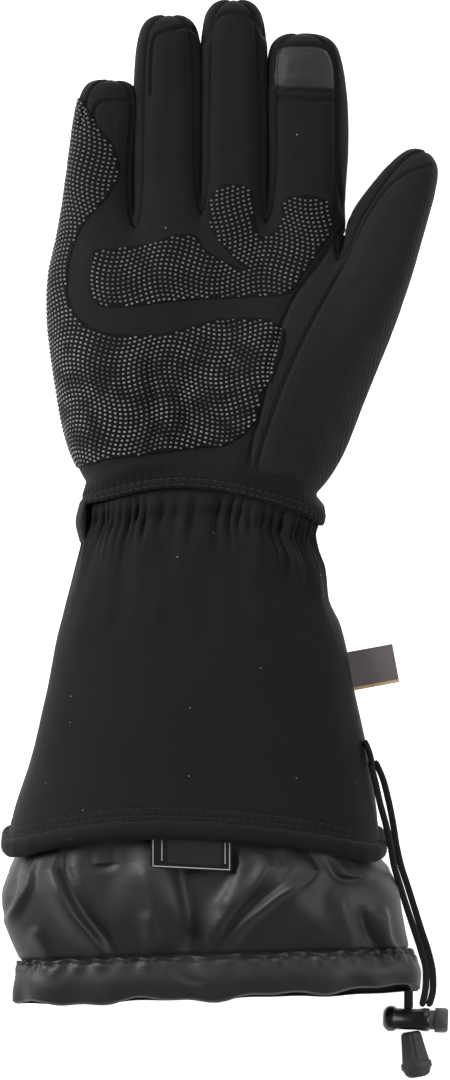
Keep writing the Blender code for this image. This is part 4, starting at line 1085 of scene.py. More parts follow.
    def refined(self, level: int) -> Surface:
        """The cage rounded and its seams pressed in.

        Args:
            level: How many times each face is split.

        Returns:
            The surface as arrays.
        """
        mesh = bpy.data.meshes.new("form")
        cage = self.cage()
        cage.to_mesh(mesh)
        cage.free()
        form = bpy.data.objects.new("form", mesh)
        bpy.context.scene.collection.objects.link(form)
        rounds = form.modifiers.new("rounds", "SUBSURF")
        rounds.levels = rounds.render_levels = level
        bpy.context.view_layer.update()
        smooth = bpy.data.meshes.new_from_object(form.evaluated_get(bpy.context.evaluated_depsgraph_get()))
        bpy.data.objects.remove(form)
        surface = Surface(
            attribute(smooth.vertices, "co", np.float32, 3).astype(float),
            attribute(smooth.vertices, "normal", np.float32, 3).astype(float),
            attribute(smooth.loops, "vertex_index", np.int32).reshape(-1, 4),
            attribute(smooth.polygons, "material_index", np.int32).ravel(),
        )
        for unused in (smooth, mesh):
            bpy.data.meshes.remove(unused)
        self.part_thumb(surface)
        self.sew(surface)
        return surface

    def part_thumb(self, surface: Surface) -> None:
        """Part the palm from the thumb's panel along the second of the thumb's two seams.

        Args:
            surface: The rounded surface, whose tags change.
        """
        centres = surface.verts[surface.quads].mean(axis=1)
        line = spaced(np.array(((62, 118), *self.seams[-1], (18, 4))) * MM, self.seam_step)
        far, _, side = line_distance(centres[:, :2], line)
        near = ((surface.tags == PALM) | (surface.tags == THUMB)) & (far < 0.012) & (centres[:, 1] < 0.114)
        near &= surface.normals[surface.quads].mean(axis=1)[:, 2] > 0.2
        surface.tags[near] = np.where(side[near] > 0, THUMB, PALM)

    def seam_points(self, surface: Surface) -> np.ndarray:
        """The points where two panels are sewn together.

        The border of the palm and the pinky's side is none where the heel grip patch covers it.

        Args:
            surface: The rounded surface.

        Returns:
            The points' numbers.
        """
        count = len(surface.verts)
        edges = edges_of(surface.quads)
        keys = edges[:, 0].astype(np.int64) * count + edges[:, 1]
        order = np.argsort(keys, kind="stable")
        keys, owner = keys[order], np.repeat(surface.tags, 4)[order]
        sewn_here = (keys[1:] == keys[:-1]) & (owner[1:] != owner[:-1])
        covered = np.minimum(owner[1:], owner[:-1]) == PALM
        covered &= np.maximum(owner[1:], owner[:-1]) == PINKY_SIDE
        sewn_here &= ~(covered & (surface.verts[keys[1:] // count, 1] < 0.152))
        border = keys[1:][sewn_here]
        return np.unique(np.concatenate([border // count, border % count]))

    def sew(self, surface: Surface) -> None:
        """Press the seams in, puff the padding between them and keep the glove on its floor.

        Args:
            surface: The rounded surface, whose points move.
        """
        places = surface.verts
        ends = places[self.seam_points(surface)]
        tree = KDTree(len(ends))
        for k, place in enumerate(ends.tolist()):
            tree.insert(place, k)
        tree.balance()
        far = np.array([tree.find(place)[2] for place in places.tolist()])
        top = surface.normals[:, 2] > 0.1
        flat = places[top, :2]
        for seam in self.seams:
            near = line_distance(flat, spaced(np.array(seam) * MM, self.seam_step))[0]
            far[top] = np.minimum(far[top], near)
        # A groove along each seam, a narrow welt beside it, then the padding's soft rise.
        d = far / MM
        lift = -self.groove * bell(d / 0.75) + self.welt * bell((d - 1.5) / 0.6)
        lift += self.puff * bell((d - 4.5) / 3.0)
        lift += 0.16 * rumple(places, 0.016, 1.3) + 0.05 * rumple(places, 0.004, 4.1)
        lift *= MM
        lift[top] += creased(flat, self.creases)
        between = np.zeros(len(places), bool)
        between[surface.quads[surface.tags >= PINKY_RING]] = True
        lift[between] += self.press * MM * smooth_step((d[between] - 0.6) / 2.5)
        places += surface.normals * lift[:, None]
        places[:, 2] = np.maximum(places[:, 2], 0.0)

    def build(self) -> None:
        """Make the nine panels and the lining."""
        self.fine = self.refined(5)
        rough = self.refined(4)
        for tag, name in enumerate(self.panels):
            surface = self.fine if tag in self.shown else rough
            kept, quads, _ = surface.part(surface.tags == tag)
            cloth = "twill" if tag in (THUMB, THUMB_BACK) else "softshell"
            Piece(name, surface.verts[kept], quads, cloth).build()
        inner = self.refined(3)
        deep = inner.verts - inner.normals * self.wall
        deep[:, 2] = np.maximum(deep[:, 2], self.wall)
        kept, quads, _ = inner.part(inner.tags >= 0)
        lining = Piece("hand_lining", deep[kept], quads[:, ::-1], "lining", "softshell", added=True)
        lining.build()


@dataclass
class Patch:
    """A thin piece printed or sewn on the palm side, inside an outline in millimetres.

    Its low is the height that it reaches down to at the hand's side, or less than 0 for none.
    """

    name: str
    outline: Points
    finish: str
    slot: str
    thickness: float = 0.45
    low: float = -1.0
    rise: float = 0.5
    edge: float = 0.16
    dome: float = 0.0
    snap: float = 0.0008

    def line(self) -> np.ndarray:
        """The outline as evenly spaced points in metres."""
        return spaced(np.array(self.outline + self.outline[:1]) * MM, 0.0006)

    def trim(self, verts: np.ndarray, normals: np.ndarray, border: np.ndarray, line: np.ndarray) -> None:
        """Move the border's points onto the outline.

        Args:
            verts: The piece's points, which change.
            normals: The hand's outward directions.
            border: The numbers of the border's points.
            line: The outline.
        """
        floor = self.low * MM
        for k in border:
            gaps = line - verts[k, :2]
            step = gaps[np.argmin((gaps**2).sum(1))]
            if np.hypot(*step) < self.snap and normals[k, 2] > 0.2:
                verts[k, :2] += step
                verts[k, 2] -= (normals[k, :2] @ step) / normals[k, 2]
            elif abs(verts[k, 2] - floor) < self.snap:
                verts[k, 2] = floor

    def cover(self, surface: Surface) -> None:
        """Lay the piece over the hand.

        Args:
            surface: The hand's fine surface.
        """
        line = self.line()
        centres = surface.verts[surface.quads].mean(axis=1)
        facing = surface.normals[surface.quads].mean(axis=1)[:, 2]
        near = (centres[:, 0] < line[:, 0].max()) & (centres[:, 1] > line[:, 1].min())
        near &= (centres[:, 1] < line[:, 1].max()) & (facing > -0.05) & (centres[:, 2] > self.low * MM)
        chosen = np.zeros(len(centres), bool)
        chosen[near] = inside(centres[near, :2], line)
        if self.low < 0:
            chosen &= facing > 0.25
        kept, quads, border = surface.part(chosen)
        verts, normals = surface.verts[kept].copy(), surface.normals[kept]
        self.trim(verts, normals, border, line)
        far = line_distance(verts[:, :2], line)[0]
        if self.low > 0:
            far = np.minimum(far, np.maximum(verts[:, 2] - self.low * MM, 0))
        d = far / MM
        thick = self.thickness * smooth_step(d / self.rise) + self.edge * bell((d - self.rise) / 0.45)
        thick += self.dome * smooth_step(d / 6)
        verts += normals * ((thick - 0.05) * MM)[:, None]
        Piece(self.name, verts, quads, self.finish, self.slot).build()


@dataclass
class Dots:
    """Raised silicone dots in a flowing grid over a patch."""

    patch: Patch
    pitch: float = 0.00208
    row_pitch: float = 0.00176
    length: float = 0.00118
    width: float = 0.00086
    height: float = 0.00040
    margin: float = 0.0007
    anchor: float = -0.036
    step: float = 0.0007
    reach: float = 0.09

    def section(self, tree: BVHTree, y: float, at: np.ndarray) -> tuple[np.ndarray, np.ndarray]:
        """The palm side's own line across at one place.

        Args:
            tree: The hand's surface for rays.
            y: The place.
            at: Where to read the line, as lengths along it from its anchor towards the thumb.

        Returns:
            The line's points and outward directions, with gaps where it has none.
        """
        points, outs = np.full((2, len(at), 3), np.nan)
        if self.patch.low < 0:
            for k, x in enumerate(at + self.anchor):
                hit, out, _, _ = tree.ray_cast(Vector((x, y, self.reach)), Vector((0, 0, -1)), self.reach)
                if hit is not None:
                    points[k], outs[k] = hit, out
            return points, outs
        pinky = y > 0.104
        centre = Vector((-0.0385 if pinky else 0.0, y, 0.016 if pinky else 0.020))
        found, ways = [], []
        for angle in np.radians(np.linspace(205, 2, 220)):
            way = Vector((math.cos(angle), 0, math.sin(angle)))
            hit, out, _, _ = tree.ray_cast(centre, way, self.reach)
            if hit is not None:
                found.append(hit)
                ways.append(out if out.dot(way) > 0 else -out)
        if len(found) < 20:
            return points, outs
        found, ways = np.array(found), np.array(ways)
        run = run_along(found)
        upper = found[:, 2] > centre.z
        run -= np.interp(self.anchor, found[upper, 0], run[upper])
        ok = (at > run[0]) & (at < run[-1])
        for table, line in ((points, found), (outs, ways)):
            table[ok] = np.stack([np.interp(at[ok], run, line[:, a]) for a in range(3)], axis=1)
        return points, outs

    def flow(self, u: np.ndarray, v: np.ndarray) -> tuple[np.ndarray, np.ndarray]:
        """Where the flowing grid carries a place of the straight one.

        Args:
            u: Places across the hand, from the anchor.
            v: Places along it.

        Returns:
            The carried places across and along.
        """
        across, turn = u + self.anchor, 2 * math.pi
        return (
            u - 0.0016 * np.cos((v - 0.052) / 0.036 * turn + 9 * across),
            v + 0.0023 * np.cos((across + 0.0108) / 0.040 * turn + 6 * v),
        )

    def places(self, tree: BVHTree) -> tuple[np.ndarray, np.ndarray, np.ndarray]:
        """Find the dots' places.

        Args:
            tree: The hand's surface for rays.

        Returns:
            Where the dots sit, their outward directions and the ways of their rows.
        """
        line = self.patch.line()
        at = np.arange(-0.050, 0.100, self.step)
        rows = np.arange(line[:, 1].min() - 0.006, line[:, 1].max() + 0.006, self.step)
        table = np.array([np.concatenate(self.section(tree, y, at), axis=1) for y in rows])
        u, v = np.meshgrid(np.arange(at[0], at[-1], self.pitch), np.arange(rows[0], rows[-1], self.row_pitch))
        u, v = u.ravel(), v.ravel()

        def read(u: np.ndarray, v: np.ndarray) -> np.ndarray:
            """Read the table between its places, after the flow.

            Args:
                u: Places across the hand, from the anchor.
                v: Places along it.

            Returns:
                The points and outward directions there.
            """
            a, b = self.flow(u, v)
            a, b = (a - at[0]) / self.step, (b - rows[0]) / self.step
            i, j = np.clip(a.astype(int), 0, len(at) - 2), np.clip(b.astype(int), 0, len(rows) - 2)
            s, t = np.clip(a - i, 0, 1)[:, None], np.clip(b - j, 0, 1)[:, None]
            low, high = (table[k, i] * (1 - s) + table[k, i + 1] * s for k in (j, j + 1))
            return low * (1 - t) + high * t

        here = read(u, v)
        way = read(u + 0.0004, v)[:, :3] - here[:, :3]
        ok = np.isfinite(here).all(1) & np.isfinite(way).all(1)
        place, out, way = here[ok, :3], here[ok, 3:], way[ok]
        ok = inside(place[:, :2], line) & (line_distance(place[:, :2], line)[0] > self.margin)
        ok &= place[:, 2] > self.patch.low * MM + self.margin
        ok &= np.linalg.norm(way, axis=1) < 0.0008
        return place[ok], out[ok], way[ok]

    def build(self, tree: BVHTree) -> None:
        """Make every dot of the patch as one mesh.

        Args:
            tree: The hand's surface for rays.
        """
        place, out, way = self.places(tree)
        out = unit(out)
        way = unit(way - out * (way * out).sum(1, keepdims=True))
        side = np.cross(out, way)
        turns = np.linspace(0, 2 * math.pi, 8, endpoint=False) + math.pi / 8
        across = squarer(np.cos(turns), 0.6) * self.length / 2
        beside = squarer(np.sin(turns), 0.6) * self.width / 2
        foot = self.patch.thickness * MM - 0.0001
        rings = []
        for size, lift in ((1.0, 0.0), (0.86, 0.75), (0.45, 1.0)):
            flat = way[:, None] * (across * size)[:, None] + side[:, None] * (beside * size)[:, None]
            rings.append(place[:, None] + flat + out[:, None] * (foot + lift * self.height))
        verts = np.stack(rings, axis=1).reshape(-1, 3)
        cap = np.array([[16, 17, 18, 19], [16, 19, 20, 23], [20, 21, 22, 23]])
        one = np.concatenate([grid_faces(3, 8, True), cap])
        faces = (one[None] + (np.arange(len(place)) * 24)[:, None, None]).reshape(-1, 4)
        Piece(self.patch.name + "_dots", verts, faces, "grip_print", added=True).build()


# Tubes of cloth


SIDES = 320
# The turn at each point of a ring, from the left side over the top.
ROUND = 2 * math.pi * np.arange(SIDES) / SIDES


def section(left: float, right: float, bottom: float, top: float) -> tuple[np.ndarray, np.ndarray]:
    """One rounded cross-section, from the left side over the top to the right and back.

    Args:
        left: The section's least X.
        right: Its greatest X.
        bottom: Its lowest Z.
        top: Its highest Z.

    Returns:
        X and Z of each point.
    """
    cosine, sine = np.cos(math.pi - ROUND), np.sin(math.pi - ROUND)
    x = (left + right) / 2 + (right - left) / 2 * squarer(cosine, 0.80)
    upper = squarer(sine, np.where(sine > 0, 0.80, 0.42))
    z = bottom + (top - bottom) * (0.46 + np.where(sine > 0, 0.54, 0.46) * upper)
    return x, np.maximum(z - 0.0006, bottom)


def outward(x: np.ndarray, z: np.ndarray) -> tuple[np.ndarray, np.ndarray]:
    """A section's own outward directions."""
    along_x, along_z = np.roll(x, -1) - np.roll(x, 1), np.roll(z, -1) - np.roll(z, 1)
    size = np.maximum(np.hypot(along_x, along_z), 1e-9)
    return -along_z / size, along_x / size


def pushed(x: np.ndarray, z: np.ndarray, amount: np.ndarray | float) -> tuple[np.ndarray, np.ndarray]:
    """A section moved along its own outward directions."""
    out_x, out_z = outward(x, z)
    return x + out_x * amount, z + out_z * amount


def ring_at(x: np.ndarray, y: np.ndarray | float, z: np.ndarray, floor: float = 0.0) -> np.ndarray:
    """One ring of a tube, kept above its floor."""
    return np.stack([x, y + 0 * x, np.maximum(z, floor)], axis=1)


def inset(ring: np.ndarray, depth: float, shift: float, floor: float) -> np.ndarray:
    """A ring moved inwards by a depth and along the glove by a shift."""
    x, z = pushed(ring[:, 0], ring[:, 2], -depth)
    return ring_at(x, ring[:, 1] + shift, z, floor)


def frontness(z: np.ndarray, bottom: float, top: float) -> np.ndarray:
    """How far up a section a point is, from 0 at the back to 1 at the front."""
    return smooth_step((z - bottom) / (0.75 * (top - bottom)))


def walled(rings: np.ndarray, wall: float) -> tuple[np.ndarray, np.ndarray]:
    """A closed cloth tube with an inner wall.

    Args:
        rings: Outer rings from the lower mouth upwards, as rows by sides by three.
        wall: The cloth's thickness.

    Returns:
        Points and faces.
    """
    loop = np.concatenate([rings, [inset(ring, wall, 0.0, 0.0004) for ring in rings[::-1]]])
    rows, sides = loop.shape[:2]
    return loop.reshape(-1, 3), grid_faces(rows + 1, sides, True) % (rows * sides)


def seam_on(rings: np.ndarray, row: int, first: float, last: float, lift: float = 0.0001) -> tuple:
    """The line of a stitch row along one ring, with the cloth's outward directions.

    Args:
        rings: The cloth's rings.
        row: The ring to sew along.
        first: Where the stitches start, as a share of the way round.
        last: Where they end.
        lift: How far above the cloth they lie.

    Returns:
        The line's points and outward directions.
    """
    ring = rings[row]
    along = np.roll(ring, -1, axis=0) - np.roll(ring, 1, axis=0)
    up = rings[min(row + 1, len(rings) - 1)] - rings[max(row - 1, 0)]
    out = unit(np.cross(up, along))
    if out[SIDES // 4, 2] < 0:
        out = -out
    pick = np.arange(int(first * SIDES), int(last * SIDES))
    return ring[pick] + out[pick] * lift, out[pick]


@dataclass(frozen=True)
class Thread:
    """A sewing thread and how it is stitched."""

    finish: str
    length: float
    gap: float
    width: float

    def sew(self, name: str, lines: list, slot: str) -> None:
        """Make rows of stitches as one piece.

        Args:
            name: The piece's name.
            lines: Each row's points and outward directions.
            slot: The slot of the cloth that they are sewn on.
        """
        verts, faces, total = [], [], 0
        for line, out in lines:
            row_verts, row_faces = stitch_row(line, out, self.length, self.gap, self.width)
            verts.append(row_verts)
            faces.append(row_faces + total)
            total += len(row_verts)
        Piece(name, np.concatenate(verts), np.concatenate(faces), self.finish, slot, added=True).build()


@dataclass
class Band:
    """The stitched band at the hand's lower edge, and the wrist strap beside it."""

    proud: float = 0.0008
    wall: float = 0.0028
    strap_width: float = 0.0165
    strap_thickness: float = 0.0016
    # How far out the rays to the hand start, and how far they reach.
    ray_start: float = 0.008
    ray_reach: float = 0.014
    thread: Thread = Thread("dark_thread", 0.0023, 0.0008, 0.0005)

    @staticmethod
    def line(x: np.ndarray | float, front: np.ndarray | float) -> np.ndarray | float:
        """Where the hand's lower edge runs: straight at the back, curved across the front.

        Args:
            x: Where to read it.
            front: How far each point is to the front.

        Returns:
            Y of the edge.
        """
        share = x / (WAIST_WIDTH / 2)
        curve = (0.60 - 0.35 * share - 1.00 * share * share) * BAND_WIDTH
        return -BAND_WIDTH / 2 + front * (curve + BAND_WIDTH / 2)

    def outer(self) -> tuple[np.ndarray, np.ndarray, np.ndarray]:
        """Work out the band's outer section.

        Returns:
            X, Z and how far each point is to the front.
        """
        row = Hand.rows[0]
        top = PALM_DEPTH * row.rise * 0.985
        x, z = section(row.left * HALF_PALM - self.proud, row.edge * HALF_PALM + self.proud, 0.0,
                       top + self.proud)
        return x, z, frontness(z, 0.0, top)

    def level(self, tree: BVHTree, x: np.ndarray, z: np.ndarray, y: np.ndarray) -> np.ndarray:
        """How far outside the band's section the hand's own surface lies.

        Args:
            tree: The hand's surface for rays.
            x: The section's X.
            z: The section's Z.
            y: The place of each point along the hand.

        Returns:
            Distances along the section's outward directions.
        """
        found = np.full(SIDES, np.nan)
        for k, (out_x, out_z) in enumerate(zip(*outward(x, z))):
            way = Vector((out_x, 0, out_z))
            start = Vector((x[k], y[k], z[k])) + way * self.ray_start
            hit, _, _, far = tree.ray_cast(start, -way, self.ray_reach)
            if hit is not None:
                found[k] = self.ray_start - far
        known = np.flatnonzero(np.isfinite(found))
        if not len(known):
            return np.zeros(SIDES)
        found = np.interp(np.arange(SIDES), known, found[known], period=SIDES)
        soft = np.concatenate([found[-6:], found, found[:6]])
        return np.convolve(soft, np.ones(13) / 13, mode="valid")

    def ring(self, tree: BVHTree, s: float) -> np.ndarray:
        """One ring of the band.

        It stands free at its lower edge and follows the hand's own surface above, so that no
        slit shows between them.

        Args:
            tree: The hand's surface for rays.
            s: The ring's place, in widths of the band.

        Returns:
            The ring's points.
        """
        x, z, front = self.outer()
        edge = self.line(x, front)
        hand = self.level(tree, x, z, edge + max(s, 1.2) * BAND_WIDTH)
        joined = float(smooth_step((s - 0.40) / 0.75))
        # The lower edge is rounded under, and stands out at the left. Two stitch rows pull it in.
        lift = -0.0009 * (1 - smooth_step(s * BAND_WIDTH / 0.0011))
        lift = lift + 0.0016 * (x < 0) * smooth_step((-x - 0.040) / 0.006) * (1 - smooth_step(s / 0.40))
        lift += (hand + (0.0003 - 0.0007 * smooth_step((s - 1.15) / 0.65))) * joined
        for place in (0.14, 0.42):
            lift -= 0.00035 * bell((s - place) * BAND_WIDTH / 0.0006)
        # The free part puckers, its edge sways, and it hangs a little lower near the thumb.
        lift += 0.00016 * np.sin(ROUND * 74 + 2 * np.sin(ROUND / (2 * math.pi) * 40)) * front * (1 - joined)
        sway = 0.0004 * np.sin(ROUND * 5 + 1) * front
        lip = -0.0016 * bell((x - 0.0485) / 0.006) * front * (1 - s)
        moved_x, moved_z = pushed(x, z, lift)
        return ring_at(moved_x, edge + s * BAND_WIDTH + sway + lip, moved_z)

    def build(self, tree: BVHTree) -> None:
        """Make the band, its stitches and the strap.

        Args:
            tree: The hand's surface for rays.
        """
        rings = np.array([self.ring(tree, s) for s in np.linspace(0, 1.80, 48)])
        Piece("hand_hem_band", *walled(rings, self.wall), "softshell").build()
        self.thread.sew("band_stitches", [seam_on(rings, row, 0.03, 0.47) for row in (4, 11)], "softshell")
        self.strap()

    def strap(self) -> None:
        """Make the wrist strap where it comes round the waist's left side."""
        x, z, _ = self.outer()
        x, z = pushed(x, z, 0.00045)
        pick = np.arange(-28, 17) % SIDES
        middle = self.line(Hand.rows[0].left * HALF_PALM, 0.5) - self.strap_width * 0.30
        across = np.linspace(-0.5, 0.5, 14)
        arches = self.strap_thickness * (1.2 - 3.6 * across**2) * (1 - 0.14 * np.cos(across * 75))
        loops = []
        for s, arch in [*zip(across, arches), *((s, 0.0) for s in across[::-1])]:
            strap_x, strap_z = pushed(x, z, arch)
            loops.append(ring_at(strap_x, middle + s * self.strap_width, strap_z, 0.0002)[pick])
        grid = np.array(loops).transpose(1, 0, 2)
        Piece("wrist_strap", grid.reshape(-1, 3), tube_faces(*grid.shape[:2]), "webbing").build()


@dataclass
class Cuff:
    """The flared gauntlet cuff with its elastic waist, and the padded roll along its hem."""

    wall: float = 0.003
    tuck: float = 0.006
    roll_height: float = 0.0066
    roll_thickness: float = 0.0068
    thread: Thread = Thread("dark_thread", 0.0022, 0.0009, 0.0004)
    # Rows: along, flare, lean, rise, lift.
    rows: tuple[tuple[float, ...], ...] = (
        (0.030, -0.020, 0.008, -0.02, 0.060), (0.097, 0.000, -0.020, 0.02, 0.012),
        (0.157, 0.110, -0.010, 0.15, 0.0), (0.268, 0.215, -0.030, 0.30, 0.0),
        (0.348, 0.350, -0.004, 0.40, 0.0), (0.570, 0.575, -0.004, 0.60, 0.0),
        (0.744, 0.730, -0.009, 0.76, 0.0), (0.919, 0.930, -0.050, 0.90, 0.006),
        (1.000, 1.000, -0.069, 1.00, 0.030),
    )
    creases: tuple[Crease, ...] = (
        Crease(((-44, -22), (-47, -40), (-52, -62)), 0.8, 4.0),
        Crease(((-30, -24), (-32, -40), (-36, -55)), -0.6, 3.5),
        Crease(((-16, -24), (-17, -38), (-20, -52)), 0.5, 3.0),
        Crease(((2, -24), (3, -38), (4, -56)), -0.5, 3.5),
        Crease(((18, -22), (21, -38), (25, -54)), 0.6, 3.5),
        Crease(((32, -22), (37, -38), (42, -56)), -0.7, 3.5),
        Crease(((42, -20), (47, -36), (52, -50)), 0.8, 3.0),
        Crease(((-60, -96), (-40, -104), (-10, -106)), -0.5, 9.0),
        Crease(((20, -90), (42, -98), (60, -96)), 0.5, 8.0),
        Crease(((56, -70), (58, -86), (62, -100)), -0.6, 4.0),
        Crease(((-56, -76), (-60, -92), (-66, -108)), 0.6, 5.0),
    )

    @staticmethod
    def droop(x: np.ndarray) -> np.ndarray:
        """How far the cuff's front edge hangs below its highest place, steeper at the left."""
        share = (x + 0.15 * HEM_WIDTH) / HEM_WIDTH
        return np.where(share < 0, 0.050 / 0.123, 0.072 / 0.42) * share * share * HEM_WIDTH

    def hem(self, x: np.ndarray, front: np.ndarray) -> np.ndarray:
        """Y of the cuff's lower edge."""
        return CUFF_START - CUFF_LENGTH - front * self.droop(x)

    def outer(self, row: np.ndarray) -> tuple[np.ndarray, np.ndarray, np.ndarray]:
        """Work out the cuff's outer section, without its gathers.

        Args:
            row: The section's row of the table.

        Returns:
            X, Z and how far each point is to the front.
        """
        _, flare, lean, rise, lift = row
        width = WAIST_WIDTH + flare * (HEM_WIDTH - WAIST_WIDTH)
        middle = lean * WAIST_WIDTH / 2
        top = WAIST_DEPTH + rise * (HEM_DEPTH - WAIST_DEPTH)
        bottom = lift * WAIST_DEPTH
        x, z = section(middle - width / 2, middle + width / 2, bottom, top)
        return x, z, frontness(z, bottom, top)

    def gathers(self, x: np.ndarray, y: np.ndarray, front: np.ndarray) -> np.ndarray:
        """How far the elastic's gathers lift the cloth round one ring.

        Args:
            x: The ring's X.
            y: The ring's Y.
            front: How far each point is to the front.

        Returns:
            Heights in metres.
        """
        # The elastic is sewn along an uneven line, which drops to both sides.
        sewn_at = -0.0048 - 0.0030 * smooth_step(-x / 0.044) - 0.0085 * smooth_step((x - 0.008) / 0.032)
        sewn_at = sewn_at + 0.0009 * np.sin(ROUND * 31) + 0.0006 * np.sin(ROUND * 47 + 1)
        off = (y - sewn_at) / MM
        # Narrow deep valleys near the line, broad soft ones farther off, and a pinch along it.
        phase = ROUND * 29 + 0.8 * np.sin(ROUND * 7) + 0.4 * np.sin(ROUND * 17 + 1)
        phase -= off * 0.02 * np.sin(ROUND * 5)
        valley = bell(np.sin(phase) / 0.55) * (0.78 + 0.22 * np.sin(ROUND * 11 + 2))
        reach = 9.0 + 3.0 * np.sin(ROUND * 9) + 1.5 * np.sin(ROUND * 23)
        near = np.where(off > 0, bell(off / 9), bell(off / reach))
        far = np.where(off > 0, 1.0, bell(off / 24))
        broad = 0.75 * np.cos(ROUND * 16 + 0.8 * np.sin(ROUND * 5) + 0.5 * np.sin(ROUND * 13)) * far
        pinch = 0.7 * bell((off + 7) / 5.0) - 1.3 * bell(off / 3.2)
        return (((0.7 - 2.7 * valley) * near + broad) * (0.25 + 0.75 * front) + pinch * front) * MM

    def rings(self) -> np.ndarray:
        """The cuff's outer rings from its hem to where it tucks into the band.

        Returns:
            The rings, as rows by sides by three.
        """
        table = np.array(self.rows)
        # The rings lie closer at the hem's stitches and in the gathers.
        spans = ((1.0, 0.93, 16), (0.925, 0.40, 50), (0.395, 0.03, 84))
        at = np.concatenate([np.linspace(*span) for span in spans])
        rings = []
        for row in through(table[:, 0], table, at):
            x, z, front = self.outer(row)
            top_edge = (Band.line(x, front) - CUFF_START) * (1 - row[0]) * 0.9
            y = CUFF_START + top_edge - row[0] * (CUFF_LENGTH + front * self.droop(x))
            places = np.stack([x, y, z], axis=1)
            above_hem = (1 - row[0]) * CUFF_LENGTH
            lift = 0.0004 * rumple(places, 0.020, 2.0) * smooth_step(row[0] / 0.3)
            for seam in (0.0016, 0.0046):
                lift -= 0.0003 * bell((above_hem - seam) / 0.0006)
            lift += creased(places[:, :2], self.creases) * front + self.gathers(x, y, front)
            moved_x, moved_z = pushed(x, z, lift)
            rings.append(ring_at(moved_x, y, moved_z))
        band = Band()
        x, z, front = band.outer()
        x, z = pushed(x, z, -(band.wall + GAP))
        rings += [ring_at(x, Band.line(x, front) + along, z) for along in (0.0, self.tuck)]
        return np.array(rings)

    def build(self) -> None:
        """Make the cuff, its stitches and its roll."""
        rings = self.rings()
        Piece("gauntlet_cuff", *walled(rings, self.wall), "softshell").build()
        self.thread.sew("cuff_stitches", [seam_on(rings, row, 0.02, 0.48) for row in (3, 8)], "softshell")
        self.roll()

    def roll(self) -> None:
        """Make the padded roll, a closed hoop of oval section."""
        x, z, front = self.outer(np.array(self.rows[-1]))
        out_x, out_z = outward(x, z)
        y = self.hem(x, front) - GAP - self.roll_height / 2
        swell = 1 + 0.03 * np.sin(ROUND * 33 + 2 * np.sin(ROUND / (2 * math.pi) * 19))
        rings = []
        for turn in np.linspace(0, 2 * math.pi, 20, endpoint=False):
            out = (squarer(math.cos(turn), 0.85) - 0.05) * self.roll_thickness / 2 * swell
            up = squarer(math.sin(turn), 0.85) * (self.roll_height / 2 + 0.0005) * swell
            rings.append(ring_at(x + out_x * out, y + up, z + out_z * out))
        faces = grid_faces(len(rings) + 1, SIDES, True) % (len(rings) * SIDES)
        roll = Piece("cuff_hem_roll", np.concatenate(rings), faces[:, ::-1], "softshell")
        roll.build()


